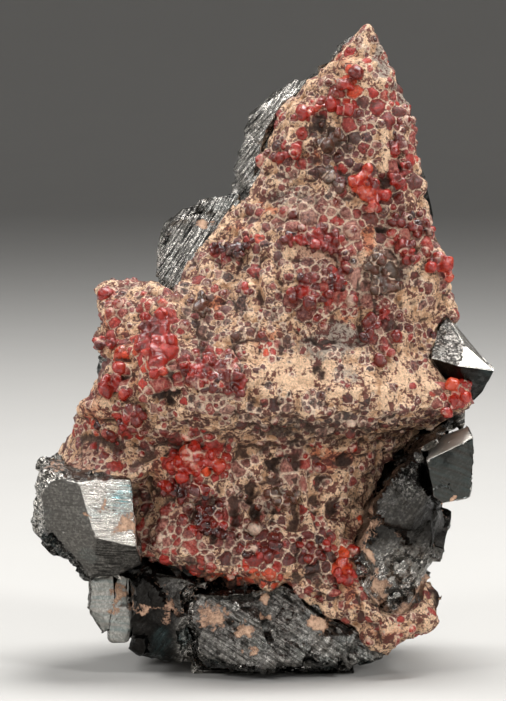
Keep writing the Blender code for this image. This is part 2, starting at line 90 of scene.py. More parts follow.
# ---------------------------------------------------------------------------------------------
# Where things are on the show face, as it is seen along the line of sight. Places and half sizes
# are (x, z, half width, half height) in mm.
# ---------------------------------------------------------------------------------------------

# Patches of small garnets: place, then the share of ground covered, the usual radius in mm, the
# tone (0 wine-black to 1 orange-red), how grey they are and how dusty.
GARNET_PATCHES = {
    "top_orange": ((7.5, 51.3, 1.2, 1.2), (0.45, 0.42, 0.95, 0.0, 0.25)),
    "top_red_column": ((7.2, 49.4, 0.9, 1.5), (0.9, 0.5, 0.95, 0.0, 0.2)),
    "top_red_row": ((5.9, 48.2, 1.4, 0.9), (0.9, 0.5, 0.85, 0.0, 0.3)),
    "top_right_reds": ((10.4, 48.2, 0.9, 1.2), (0.7, 0.45, 0.8, 0.0, 0.3)),
    "upper_mixed": ((8.3, 46.0, 2.6, 1.8), (0.95, 0.44, 0.42, 0.05, 0.3)),
    "upper_left_reds": ((3.2, 46.4, 1.7, 1.2), (0.75, 0.42, 0.7, 0.0, 0.3)),
    "brown_hollow": ((4.7, 46.0, 1.3, 1.2), (0.6, 0.35, 0.2, 0.6, 0.2)),
    "grey_top": ((6.4, 45.2, 1.0, 0.8), (0.7, 0.5, 0.15, 0.9, 0.4)),
    "left_wines": ((2.1, 43.7, 1.8, 1.3), (0.9, 0.5, 0.35, 0.05, 0.3)),
    "under_grey_top": ((5.6, 42.6, 2.4, 1.3), (0.85, 0.42, 0.3, 0.2, 0.25)),
    "right_reds": ((11.7, 44.7, 1.2, 2.6), (0.85, 0.55, 0.7, 0.0, 0.35)),
    "right_wines": ((10.9, 41.3, 1.9, 1.5), (0.7, 0.45, 0.45, 0.1, 0.4)),
    "left_tan_speckle": ((2.3, 40.9, 2.9, 1.7), (0.35, 0.28, 0.35, 0.3, 0.6)),
    "right_mauves": ((12.2, 37.0, 2.1, 1.7), (0.85, 0.5, 0.5, 0.05, 0.55)),
    "dome_top": ((5.3, 38.1, 3.3, 1.4), (0.95, 0.56, 0.52, 0.05, 0.7)),
    "dome_side": ((7.3, 34.9, 1.0, 3.1), (0.95, 0.56, 0.55, 0.0, 0.75)),
    "dome_cream": ((3.6, 34.9, 2.2, 1.9), (0.5, 0.42, 0.45, 0.05, 0.5)),
    "dome_foot": ((5.3, 31.6, 3.1, 1.4), (0.9, 0.48, 0.45, 0.05, 0.55)),
    "left_wine_row": ((-2.4, 35.7, 2.9, 0.9), (0.8, 0.55, 0.35, 0.05, 0.4)),
    "left_mixed": ((0.2, 34.5, 1.7, 1.2), (0.7, 0.45, 0.35, 0.2, 0.55)),
    "left_sparse": ((-4.1, 31.5, 3.4, 1.9), (0.45, 0.4, 0.3, 0.35, 0.5)),
    "orange_channel": ((8.5, 36.6, 1.0, 1.9), (0.25, 0.3, 0.7, 0.1, 0.4)),
    "grey_knot": ((10.5, 33.6, 1.7, 1.9), (0.8, 0.5, 0.1, 0.9, 0.5)),
    "right_pale": ((12.6, 31.5, 2.2, 1.4), (0.4, 0.35, 0.45, 0.1, 0.5)),
    "right_low_wines": ((9.9, 29.6, 1.5, 1.5), (0.75, 0.5, 0.4, 0.05, 0.5)),
    "left_shoulder": ((-12.4, 29.7, 1.5, 2.2), (0.6, 0.42, 0.4, 0.25, 0.4)),
    "left_shoulder_low": ((-12.3, 24.2, 2.2, 2.6), (0.6, 0.45, 0.55, 0.1, 0.45)),
    "left_foot_reds": ((-13.5, 20.3, 2.2, 1.2), (0.7, 0.42, 0.65, 0.0, 0.35)),
    "red_ridge_skirt": ((-8.8, 27.6, 1.7, 2.9), (0.8, 0.5, 0.85, 0.0, 0.35)),
    "wine_ridge_skirt": ((-5.0, 25.5, 3.6, 1.5), (0.9, 0.54, 0.48, 0.0, 0.5)),
    "below_wine_ridge": ((-5.4, 22.5, 3.8, 1.2), (0.6, 0.38, 0.35, 0.1, 0.6)),
    "mid_speckle": ((-0.3, 28.9, 3.9, 1.5), (0.5, 0.3, 0.3, 0.4, 0.55)),
    "mid_red_bits": ((-0.1, 27.2, 1.4, 1.2), (0.5, 0.35, 0.8, 0.0, 0.4)),
    "cream_band": ((3.2, 25.3, 5.1, 1.7), (0.16, 0.22, 0.3, 0.4, 0.4)),
    "cream_band_right": ((12.2, 25.0, 2.6, 2.2), (0.14, 0.26, 0.4, 0.2, 0.4)),
    "cream_dots": ((10.0, 23.6, 3.4, 1.2), (0.35, 0.32, 0.3, 0.1, 0.35)),
    "under_speckle": ((5.7, 21.6, 8.6, 1.0), (0.7, 0.3, 0.22, 0.35, 0.45)),
    "spike": ((15.9, 23.9, 1.7, 1.4), (0.9, 0.36, 0.8, 0.0, 0.2)),
    "red_knot_skirt": ((-5.8, 17.7, 2.6, 2.2), (0.85, 0.5, 0.8, 0.0, 0.35)),
    "rib_low": ((-5.8, 13.9, 3.4, 2.2), (0.7, 0.48, 0.45, 0.05, 0.65)),
    "low_left_pink": ((-8.8, 10.9, 2.1, 1.4), (0.7, 0.4, 0.65, 0.0, 0.6)),
    "low_middle": ((0.2, 15.2, 3.1, 2.2), (0.3, 0.4, 0.25, 0.4, 0.6)),
    "low_wine_branch": ((3.7, 16.7, 1.7, 1.5), (0.6, 0.4, 0.4, 0.0, 0.5)),
    "low_band_wine": ((-0.1, 10.5, 4.3, 1.4), (0.85, 0.45, 0.35, 0.0, 0.4)),
    "low_band_red": ((-3.3, 8.1, 4.3, 0.9), (0.8, 0.4, 0.85, 0.0, 0.2)),
    "low_right_dark": ((4.2, 9.9, 1.7, 1.5), (0.8, 0.45, 0.2, 0.1, 0.3)),
    "low_right_red": ((6.8, 9.0, 0.9, 1.4), (0.9, 0.45, 0.95, 0.0, 0.15)),
    "low_right_tan": ((7.5, 14.3, 1.9, 2.6), (0.15, 0.3, 0.4, 0.2, 0.4)),
    "foot_brown": ((5.7, 6.6, 2.1, 1.2), (0.5, 0.3, 0.4, 0.0, 0.5)),
    "foot_pink": ((10.9, 3.3, 2.6, 1.0), (0.35, 0.28, 0.7, 0.0, 0.6)),
    "foot_right": ((14.8, 5.7, 0.7, 2.1), (0.5, 0.32, 0.65, 0.0, 0.5)),
}
COMMON_GARNETS = (0.36, 0.3, 0.42, 0.15, 0.5)  # what grows between the patches
COMMON_WEIGHT = 0.12

# Stains and bare patches of the druse, and under "shade" a painted shadow laid into holes, seams and
# undercuts: what shows there, place and strength.
CRUST_TINTS = {
    "cream": (
        ((3.2, 25.3, 5.5, 1.7), 1.0), ((12.2, 24.8, 2.6, 2.2), 1.0), ((3.2, 35.1, 2.4, 1.7), 0.8),
        ((9.3, 47.7, 1.2, 1.0), 0.6), ((12.8, 31.5, 2.1, 1.2), 0.7), ((-14.0, 17.8, 2.6, 0.6), 0.5),
        ((-4.1, 28.9, 2.6, 1.2), 0.5), ((-4.7, 24.2, 2.6, 0.7), 0.6), ((5.6, 35.9, 3.4, 3.9), 0.8),
        ((8.8, 48.6, 2.0, 3.2), 0.75),
    ),
    "rust": (
        ((7.0, 52.0, 1.2, 1.2), 0.5), ((11.3, 36.6, 0.9, 0.9), 0.9), ((8.7, 36.6, 0.8, 1.7), 0.8),
        ((2.3, 36.2, 0.7, 0.7), 0.5), ((4.2, 43.3, 1.0, 0.7), 0.7), ((0.3, 39.0, 1.4, 0.5), 0.8),
        ((-2.0, 37.3, 0.9, 0.7), 0.6), ((-3.9, 31.3, 1.0, 1.2), 0.8), ((0.4, 27.9, 1.2, 0.9), 0.6),
        ((7.0, 29.9, 1.0, 0.7), 0.7), ((8.1, 31.5, 0.5, 1.4), 0.8), ((5.7, 18.0, 2.6, 1.0), 0.8),
        ((-8.8, 16.9, 1.2, 1.7), 0.5), ((-3.3, 7.6, 6.0, 0.8), 1.0), ((7.0, 9.2, 0.9, 1.5), 0.9),
        ((-15.7, 17.1, 1.7, 0.5), 1.0), ((-11.4, 27.2, 1.0, 2.2), 0.6), ((7.6, 7.0, 1.0, 2.1), 0.6),
        ((10.7, 3.3, 2.9, 0.9), 0.5), ((-12.9, 28.9, 0.8, 2.6), 0.7), ((-14.0, 22.0, 1.4, 2.6), 0.55),
        ((-10.4, 24.6, 1.2, 1.2), 0.45),
    ),
    "grey": (
        ((6.6, 28.2, 2.6, 1.4), 0.9), ((7.0, 25.3, 1.2, 1.2), 0.6), ((2.1, 40.2, 2.1, 1.2), 0.7),
        ((6.6, 45.2, 1.2, 0.9), 0.6), ((9.3, 34.7, 0.9, 1.2), 0.6), ((1.3, 14.5, 1.5, 1.0), 0.9),
        ((10.2, 51.8, 0.8, 1.7), 1.0), ((11.7, 48.9, 0.8, 1.8), 1.0), ((11.6, 33.6, 1.4, 1.0), 0.6),
        ((-14.0, 18.6, 1.4, 0.7), 0.4), ((5.0, 27.4, 2.4, 1.3), 0.85),
    ),
    # Painted shade: darkens the druse in its holes, in the seams between ridges and under its overhangs.
    "shade": (
        ((5.4, 45.3, 2.0, 1.3), 0.6), ((4.7, 46.4, 1.0, 0.9), 0.9), ((4.7, 27.9, 1.4, 0.4), 0.9),
        ((4.5, 25.4, 0.7, 0.5), 0.8), ((1.5, 20.5, 2.8, 1.0), 1.0), ((6.6, 20.7, 3.4, 0.5), 0.8),
        ((0.8, 17.5, 0.9, 0.8), 0.9), ((-1.3, 15.2, 0.6, 1.0), 0.8), ((0.6, 13.1, 0.4, 0.9), 0.7),
        ((10.0, 37.6, 0.7, 0.7), 0.8), ((-8.1, 23.1, 1.2, 0.6), 1.0), ((7.0, 17.6, 0.9, 0.7), 0.7),
        ((3.2, 19.5, 2.6, 0.5), 0.7), ((4.0, 8.3, 1.4, 0.9), 0.7), ((-9.5, 16.2, 0.5, 1.2), 0.6),
        ((4.9, 13.9, 0.9, 0.7), 0.4), ((-6.4, 7.9, 3.4, 0.9), 0.9), ((13.5, 20.3, 2.2, 0.5), 0.6),
        ((-7.7, 25.0, 0.7, 0.7), 0.8), ((-1.8, 7.2, 2.6, 0.8), 0.9),
    ),
    "pink": (
        ((5.3, 35.7, 3.1, 3.9), 0.75), ((-5.0, 25.9, 3.4, 1.4), 0.5), ((-14.8, 18.4, 2.2, 0.9), 0.8),
        ((-5.8, 13.0, 3.1, 2.2), 0.6), ((-8.8, 10.9, 1.9, 1.4), 0.7), ((14.3, 35.7, 1.7, 1.7), 0.4),
    ),
}

# Holes where the druse has broken or never closed: place and depth in mm.
HOLLOWS = (
    ((4.7, 46.4, 0.8, 0.7), 0.5), ((4.7, 27.9, 1.2, 0.3), 0.35), ((4.5, 25.4, 0.6, 0.3), 0.3),
    ((0.8, 17.5, 0.8, 0.7), 0.9), ((-1.3, 15.2, 0.5, 0.9), 0.8), ((0.6, 13.1, 0.4, 0.9), 0.6),
    ((10.0, 37.6, 0.5, 0.5), 0.5), ((-8.1, 23.1, 1.2, 0.5), 0.9), ((7.0, 17.6, 0.8, 0.6), 0.6),
    ((-9.7, 16.0, 0.4, 1.0), 0.5), ((1.5, 20.3, 2.1, 0.4), 0.5), ((8.3, 20.5, 3.1, 0.3), 0.4),
    ((4.0, 8.4, 1.2, 0.6), 0.5), ((-2.3, 13.0, 0.6, 0.8), 0.4), ((2.7, 16.9, 0.5, 0.5), 0.4),
    ((4.9, 16.0, 0.4, 0.8), 0.4),
)

# Where the druse hangs over or draws back, as seen: place, and how it moves in mm.
SAGS = (
    ((-14.6, 17.6, 3.6, 1.7), (0.0, -2.3, -0.7)), ((-11.2, 16.6, 1.6, 1.3), (0.0, -0.8, -0.4)),
    ((15.3, 6.6, 1.3, 1.9), (-1.0, 0.0, 0.0)), ((-6.6, 8.3, 3.4, 1.2), (0.0, 0.2, 0.75)),
    ((-1.5, 7.6, 2.6, 1.0), (0.0, 0.1, 0.3)),
)
# Where the mass's steps are worn away: its right edge, and where the druse's foot wraps it.
WORN_EDGES = (((16.6, 12.8, 2.4, 3.0), 0.9), ((15.4, 6.2, 1.1, 2.0), 1.0))
WINDOW = (11.6, 7.8, 3.2, 2.8)  # where broken hematite shows through the druse
UNDERCUT = (4.0, 20.6, 10.5, 1.5)  # streaked band under the cream shelf
RECESS = (1.6, 14.6, 5.4, 4.0)  # where the druse is eaten into branching ribs
DRUSE_TRIANGLES = 198000
MASS_TRIANGLES = 165000
BOLD_RADIUS = 0.24  # garnets above this radius in mm get more faces
BANDS = {"low": (-1, 22.4), "middle": (22.4, 34), "high": (34, 60)}  # heights that part the small garnets
STANDING = 0.6  # share of the garnets that stand out of the druse, where there is little dust
MOST_SEEDS = 30000  # places tried for the crystals of one druse

# Hematite crystals: frame node, the direction across the growth lines, the lines' spacing in mm and
# their depth in mm, how bright the whole is, then how single faces look, by the way they face.
HEMATITE_CRYSTALS = {
    "hematite_crystal_left": ((0.05, 0.1, 1.0), 0.26, 0.03, 1.0, (
        ("ruled", (0.43, -0.87, 0.23)), ("matte", (-0.42, -0.90, -0.15)),
        ("sparkling", (-0.9, -0.35, -0.2)), ("shards", (-0.5, -0.5, -0.7)), ("scored", (0.4, -0.6, -0.6)),
        ("sparkling", (-0.7, -0.3, 0.6)))),
    "hematite_crystal_right": ((0.5, 0.3, 1.0), 0.7, 0.012, 1.0, (
        ("pitted", (0.09, -0.62, 0.78)), ("mirror", (0.36, -0.62, 0.70)), ("plain", (0.2, -0.7, -0.7)),
        ("plain", (0.8, -0.4, -0.3)))),
    "hematite_crystal_lower_right": ((0.3, 0.2, 1.0), 0.8, 0.012, 1.0, (
        ("glassy", (0.2, -0.97, 0.0)), ("satin", (-0.3, -0.6, 0.75)), ("pitted", (0.6, -0.4, 0.7)))),
    "hematite_crystal_base": ((0.55, 0.2, 0.8), 0.42, 0.012, 1.0, (
        ("flaky", (0.0, -0.95, 0.25)), ("shards", (0.0, -0.5, -0.85)), ("broken", (-0.8, -0.5, 0.1)))),
    "hematite_plate_outer": ((0.1, 0.2, 1.0), 0.6, 0.03, 1.0, (("pale", (0.0, -1.0, 0.0)),)),
    "hematite_plate_inner": ((0.1, 0.2, 1.0), 0.6, 0.03, 1.0, (("pale", (0.0, -1.0, 0.0)),)),
    "hematite_blade_upper_left": ((0.85, 0.1, -0.55), 0.3, 0.08, 0.9, (("silvery", (-0.4, -0.83, 0.38)),)),
}
# Each look: how bright the steel is, partly a painted highlight on faces that mirror a lamp and painted
# shade on faces that don't, how strongly lines and then grains vary it, its roughness, how far its grains
# lean, and how deep large and then small faces are chipped off it.
LOOK_VALUES = {
    "ruled": (1.6, 0.7, 0.1, 0.2, 0.05, 0.0, 0.0),
    "scored": (0.26, 0.8, 0.3, 0.24, 0.15, 0.3, 0.1),
    "silvery": (0.88, 1.0, 0.4, 0.18, 0.3, 0.7, 0.3),
    "glassy": (0.1, 0.1, 0.1, 0.1, 0.12, 0.2, 0.0),
    "blocky": (0.75, 0.5, 0.35, 0.12, 1.1, 0.5, 0.8),
    "matte": (0.26, 0.25, 0.2, 0.4, 0.15, 0.1, 0.0),
    "pale": (0.8, 0.1, 0.15, 0.5, 0.12, 0.7, 0.3),
    "broken": (0.85, 0.35, 0.8, 0.18, 1.1, 0.9, 1.2),
    "sparkling": (1.8, 0.3, 0.9, 0.18, 1.0, 0.7, 1.3),
    "shards": (0.25, 0.5, 1.0, 0.16, 1.3, 1.4, 1.6),
    "flaky": (0.42, 0.75, 0.3, 0.24, 0.7, 1.8, 0.5),
    "satin": (1.9, 0.3, 0.2, 0.42, 0.1, 0.0, 0.0),
    "pitted": (0.9, 0.3, 0.8, 0.24, 0.6, 0.1, 0.2),
    "mirror": (1.35, 0.1, 0.05, 0.2, 0.0, 0.0, 0.0),
    "plain": (0.03, 0.35, 0.25, 0.11, 0.28, 0.2, 0.0),
}
LOOK_KEYS = ("shine", "lined", "grainy", "rough", "tilt", "flaked", "chipped")
STRIAE = (0.8, 0.1, -0.6)  # across the growth lines of the massive hematite
STRIAE_SPACING = 0.36
EDGE_WEAR = 0.08  # how far the crystals' edges are worn back, in mm
CRYSTAL_GRAIN = 0.27  # longest edge in the crystals' meshes, in mm
# Looks of the mass by place, with their strength; their shine paints in part of the highlight and shade, as
# on the crystals.
MASS_LOOKS = (
    ("silvery", (0.8, 46.0, 6.0, 7.5), 9.0), ("silvery", (-5.5, 36.0, 4.5, 5.0), 9.0),
    ("blocky", WINDOW, 6.0), ("shards", (12.2, 16.4, 1.6, 1.6), 12.0),
    ("broken", (-6.4, 3.0, 0.9, 3.0), 2.0), ("plain", (-9.8, 5.0, 2.6, 5.0), 9.0),
    ("plain", (12.5, 13.5, 5.5, 4.0), 9.0), ("shards", (4.0, 1.0, 6.0, 1.6), 5.0),
)

TEAL_PLACE = (-11.9, 14.5, 1.3, 1.4)  # the bluish oxide film on the left crystal's ruled face
TEAL_FILM = 0.9

# Clay caught on the hematite: place and strength.
CLAY_PATCHES = (
    ((-13.3, 14.3, 0.35, 0.8), 0.8), ((-11.7, 12.5, 1.2, 0.8), 1.0), ((-14.6, 13.3, 0.25, 0.9), 0.7),
    ((-4.3, 4.7, 1.7, 1.3), 0.75), ((0.2, 6.3, 0.6, 0.6), 1.0), ((0.1, 4.6, 0.5, 0.5), 1.0),
    ((-1.5, 3.5, 1.1, 0.7), 0.8), ((4.7, 3.9, 1.2, 0.6), 1.2), ((-0.9, 1.6, 0.7, 0.5), 0.9),
    ((-9.6, 5.3, 2.8, 0.4), 0.8), ((-8.0, 4.5, 0.6, 1.5), 0.6), ((-12.3, 6.3, 0.8, 0.8), 0.9),
    ((-12.7, 4.8, 0.35, 0.9), 0.8), ((15.9, 14.1, 0.35, 0.6), 1.1), ((9.0, 9.8, 0.7, 0.7), 0.9),
    ((-5.0, 37.9, 1.0, 0.4), 1.0), ((9.6, 6.6, 0.8, 1.6), 0.7), ((14.0, 6.4, 0.8, 1.6), 0.8),
    ((8.6, 14.0, 1.0, 4.0), 0.7), ((12.0, 4.6, 2.5, 0.8), 0.8), ((-17.6, 17.4, 1.2, 0.5), 0.5),
)
RED_SLOT, WINE_SLOT, GREY_SLOT = "garnet_red", "garnet_wine", "garnet_grey"
# Each kind of bunch: tone, how grey it is, and the width of one crystal in mm.
BUNCH_TONES = {RED_SLOT: (0.7, 0.0, 1.7), WINE_SLOT: (0.4, 0.0, 1.05), GREY_SLOT: (0.12, 0.6, 1.1)}

# The stage, in metres: the floor's flat reach, its bend, its wall's height and its gap under the
# specimen, then the point looked at and the height of the view there.
FLAT_REACH, BEND, WALL_HEIGHT, FLOOR_GAP = 0.9, 0.6, 1.1, 0.02 * MM
VIEW_MIDDLE = Vector((-0.86, SIGHT_DEPTH, 27.1)) * MM
VIEW_HEIGHT = 60.0757 * MM
SURROUND = 0.16  # strength of the light from all round
# Lamps: place in metres, width in metres and power in watts.
LAMPS = {
    "overhead": ((0.04, 0.06, 0.44), 0.24, 1.95),
    "right": ((0.36, -0.25, 0.22), 0.1, 1.0),
    "left": ((-0.32, -0.30, 0.24), 0.14, 0.72),
    "behind": ((-0.32, 0.10, 0.28), 0.12, 0.7),
    "front": ((0.02, -0.55, 0.16), 0.24, 0.6),
    "high_right": ((0.19, 0.09, 0.36), 0.1, 0.4),
}


# ---------------------------------------------------------------------------------------------
# Colour and noise
# ---------------------------------------------------------------------------------------------


def linear(hex_colour):
    """An sRGB hex colour as the linear values that a shader takes."""
    channels = (int(hex_colour[i : i + 2], 16) / 255 for i in (1, 3, 5))
    return tuple(c / 12.92 if c <= 0.04045 else ((c + 0.055) / 1.055) ** 2.4 for c in channels)


LATTICE = np.random.default_rng(11).uniform(-1, 1, (64, 64, 64))


def noise(points, size, seed=0):
    """Smooth random values from -1 to 1 at points, in bumps about one size across."""
    at = points / size + seed * 7.37
    cell = np.floor(at).astype(int)
    ease = at - cell
    ease = ease * ease * (3 - 2 * ease)
    total = np.zeros(len(points))
    for corner in itertools.product((0, 1), repeat=3):
        i, j, k = ((cell + corner) & 63).T
        weight = np.prod(np.where(corner, ease, 1 - ease), axis=1)
        total += LATTICE[i, j, k] * weight
    return total


def billows(points, size, seed):
    """Rounded lumps about one size across, with sharp creases between them."""
    return 2.2 * np.abs(noise(points, size, seed)) - 0.55


def in_ellipse(points, place):
    """From 0 outside a patch to 1 in its middle, along the line of sight."""
    x, z, half_x, half_z = place
    seen_z = points[:, 2] + math.tan(SIGHT_ANGLE) * (points[:, 1] - SIGHT_DEPTH)
    reach = ((points[:, 0] - x) / half_x) ** 2 + ((seen_z - z) / half_z) ** 2
    return np.exp(-(reach**1.5))


def smooth_step(low, high, value):
    """0 below low, 1 above high and smooth between."""
    share = np.clip((value - low) / (high - low), 0, 1)
    return share * share * (3 - 2 * share)


# ---------------------------------------------------------------------------------------------
# Meshes
# ---------------------------------------------------------------------------------------------


def node_shape(node):
    """A frame node as a closed bmesh in millimetres."""
    shape = bmesh.new()
    shape.from_mesh(frame["nodes"][node].data)
    bmesh.ops.remove_doubles(shape, verts=shape.verts, dist=1e-7)
    shape.transform(Matrix.Scale(1 / MM, 4))
    return shape


def as_mesh(shape, name):
    """A bmesh as a mesh."""
    mesh = bpy.data.meshes.new(name)
    shape.to_mesh(mesh)
    shape.free()
    return mesh


def add_object(name, data):
    """An object in the scene that carries a mesh, a light or a camera."""
    made = bpy.data.objects.new(name, data)
    bpy.context.scene.collection.objects.link(made)
    return made


def modified_mesh(carrier):
    """The mesh that an object's modifiers make of its own. The object is then removed."""
    evaluated = carrier.evaluated_get(bpy.context.evaluated_depsgraph_get())
    result = bpy.data.meshes.new_from_object(evaluated)
    mesh = carrier.data
    bpy.data.objects.remove(carrier)
    bpy.data.meshes.remove(mesh)
    return result


def remeshed(shape, grain):
    """A closed shape rebuilt as an even mesh, with cells of one size."""
    carrier = add_object("carrier", as_mesh(shape, "source"))
    modifier = carrier.modifiers.new("even cells", "REMESH")
    modifier.mode = "VOXEL"
    modifier.voxel_size = grain
    return modified_mesh(carrier)


def coarsened(mesh, hidden, triangles):
    """A mesh cut down to a number of triangles, where it is hidden first."""
    carrier = add_object("carrier", mesh)
    group = carrier.vertex_groups.new(name="hidden")
    for weight in (0.05, 0.35, 0.65, 1.0):
        members = np.flatnonzero((hidden > weight - 0.3) & (hidden <= weight + 1e-6))
        group.add(members.tolist(), weight, "REPLACE")
    modifier = carrier.modifiers.new("fewer", "DECIMATE")
    modifier.ratio = triangles / (2 * len(mesh.polygons))
    modifier.vertex_group = "hidden"
    modifier.vertex_group_factor = 10
    return modified_mesh(carrier)


def read_vectors(name, mesh):
    """Three numbers a vertex, as an array."""
    vectors = np.empty(len(mesh.vertices) * 3, np.float32)
    mesh.vertices.foreach_get(name, vectors)
    return vectors.reshape(-1, 3).astype(float)


read_points = partial(read_vectors, "co")
read_normals = partial(read_vectors, "normal")


def write_points(mesh, points):
    """Moves a mesh's vertices."""
    mesh.vertices.foreach_set("co", points.astype(np.float32).ravel())
    mesh.update()


def read_value(mesh, name):
    """One stored number a vertex, as an array."""
    values = np.empty(len(mesh.vertices), np.float32)
    mesh.attributes[name].data.foreach_get("value", values)
    return values.astype(float)


def write_value(mesh, name, values):
    """Stores one number a vertex, for the materials to read."""
    layer = mesh.attributes.get(name) or mesh.attributes.new(name, "FLOAT", "POINT")
    layer.data.foreach_set("value", np.asarray(values, np.float32))


def settled(mesh, spread):
    """Where each point comes to lie when the surface is smoothed."""
    edges = np.empty(len(mesh.edges) * 2, int)
    mesh.edges.foreach_get("vertices", edges)
    a, b = edges.reshape(-1, 2).T
    mean, count = read_points(mesh), len(mesh.vertices)
    ties = np.bincount(a, minlength=count) + np.bincount(b, minlength=count)
    for _ in range(spread):
        sums = [
            np.bincount(a, mean[b, axis], count) + np.bincount(b, mean[a, axis], count) for axis in range(3)
        ]
        mean = np.stack(sums, 1) / ties[:, None]
    return mean


def hollowness(mesh, spread):
    """How far each point lies below its surroundings, in mm: above 0 in seams, below 0 on humps."""
    return np.einsum("ij,ij->i", settled(mesh, spread) - read_points(mesh), read_normals(mesh))


def triangle_mesh(name, points, triangles):
    """A mesh from arrays of points and triangles."""
    mesh = bpy.data.meshes.new(name)
    mesh.vertices.add(len(points))
    write_points(mesh, points)
    mesh.loops.add(triangles.size)
    mesh.loops.foreach_set("vertex_index", triangles.astype(np.int32).ravel())
    mesh.polygons.add(len(triangles))
    mesh.polygons.foreach_set("loop_start", np.arange(0, triangles.size, 3, dtype=np.int32))
    mesh.update(calc_edges=True)
    return mesh


def add_piece(name, mesh, material, nodes=(), sharp=180):
    """Puts a mesh in millimetres into the scene as a piece of the specimen. Edges that turn by more
    than the sharp angle, in degrees, aren't smoothed."""
    write_points(mesh, read_points(mesh) * MM)
    mesh.materials.clear()
    mesh.materials.append(material)
    mesh.shade_smooth()
    mesh.set_sharp_from_angle(angle=math.radians(sharp))
    mesh.name = name
    piece = add_object(name, mesh)
    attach(piece, BODY)
    if nodes:
        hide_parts(*nodes)


def unit(vectors):
    """Directions made one long."""
    return np.array(vectors) / np.linalg.norm(vectors, axis=-1, keepdims=True)


def point_tree(points):
    """A tree that finds the nearest of some points."""
    tree = KDTree(len(points))
    for i, point in enumerate(points):
        tree.insert(point, i)
    tree.balance()
    return tree


def away_from(node, points):
    """How far each point is from a frame node's surface, in mm."""
    shape = node_shape(node)
    tree = BVHTree.FromBMesh(shape)
    shape.free()
    return np.array([tree.find_nearest(point)[3] for point in points])


def chip_depths(points, normals, count, tilt, seed, among=4):
    """Depths that break a surface into flat faces: each point takes the lowest of the planes near it."""
    random = np.random.default_rng(seed)
    chosen = random.choice(len(points), count, replace=False)
    planes = unit(normals[chosen] + random.normal(0, tilt, (count, 3)))
    tree = point_tree(points[chosen])
    near = np.array([[i for _, i, _ in tree.find_n(point, among)] for point in points])
    gap = np.einsum("nkj,nkj->nk", points[chosen][near] - points[:, None], planes[near])
    facing = np.einsum("nj,nkj->nk", normals, planes[near])
    return (gap / np.maximum(facing, 0.6)).min(axis=1)


def grown_cells(points, radii, seed):
    """Splits a surface into touching crystals, each of about its own radius. Gives each point's crystal,
    the point's distance in mm from the next crystal, and the crystals' middles as point numbers."""
    random = np.random.default_rng(seed)
    order = random.permutation(len(points))[:MOST_SEEDS]
    middles = order[spread_out(points[order], radii[order], 0.9)]
    tree = point_tree(points[middles])
    among = min(5, len(middles))
    near = np.array([[i for _, i, _ in tree.find_n(point, among)] for point in points])
    reach = np.linalg.norm(points[middles][near] - points[:, None], axis=2) / radii[middles][near]
    near = np.column_stack([near, near[:, 0]])
    reach = np.column_stack([reach, np.full(len(points), 9.0)])
    rank = np.argsort(reach, axis=1)[:, :2]
    own = np.take_along_axis(near, rank[:, :1], 1)[:, 0]
    first, second = np.take_along_axis(reach, rank, 1).T
    return own, 0.5 * (second - first) * radii[middles][own], middles


def patches(points, table):
    """The strongest of several patches at each point."""
    strength = np.zeros(len(points))
    for place, amount in table:
        strength = np.maximum(strength, amount * in_ellipse(points, place))
    return strength


def drawn_out(points, reach, seed):
    """Points shifted at random by up to a reach, which makes the outlines of patches ragged."""
    shifts = np.zeros((len(points), 3))
    for axis, number in ((0, seed), (2, seed + 1)):
        shifts[:, axis] = reach * noise(points, 0.9, number) + reach * noise(points, 0.4, number)
    return points + shifts


def write_looks(mesh, looks, light=1.0):
    """Stores what the hematite material needs, blended from the looks that each point has, and gives it."""
    weights = np.array([looks[look] for look in looks])
    weights /= weights.sum(axis=0)
    blended = weights.T @ np.array([LOOK_VALUES[look] for look in looks])
    for key, values in zip(LOOK_KEYS, blended.T):
        write_value(mesh, key, values * (light if key == "shine" else 1))
    return dict(zip(LOOK_KEYS, blended.T))


def terrace_moves(points, direction, step, seed):
    """Moves along a direction that gather a surface into flat growth steps."""
    along = unit(direction)
    height = points @ along / step + 0.8 * noise(points, 5.0, seed) + 0.3 * noise(points, 1.4, seed + 1)
    level = np.floor(height)
    eased = level + smooth_step(0.38, 0.62, height - level)
    return ((eased - height) * step)[:, None] * along


# ---------------------------------------------------------------------------------------------
# Materials
# ---------------------------------------------------------------------------------------------


NOISE_REACH = {"From Min": 0.3, "From Max": 0.7}  # where most values of a noise texture lie


def add(tree, kind, inputs, output=0, **settings):
    """Adds a node with its settings, feeds its inputs with values or outputs, and gives one output."""
    node = tree.nodes.new("ShaderNode" + kind)
    for name, value in settings.items():
        setattr(node, name, value)
    for name, value in inputs.items():
        socket = node.inputs[name]
        if isinstance(value, bpy.types.NodeSocket):
            tree.links.new(value, socket)
        else:
            socket.default_value = (*value, 1) if socket.type == "RGBA" else value
    return node.outputs[output]


def new_material(name):
    """A material with a Principled shader: hands back a node adder, a linker and positions in mm."""
    material = bpy.data.materials.new(name)
    material.use_nodes = True
    tree = material.node_tree
    shader = tree.nodes["Principled BSDF"]
    place = add(tree, "TexCoord", {}, "Object")
    mm = add(tree, "Mapping", {"Vector": place, "Scale": (1 / MM,) * 3})

    def link(output, name):
        tree.links.new(output, shader.inputs[name])

    return material, partial(add, tree), link, shader.inputs, mm


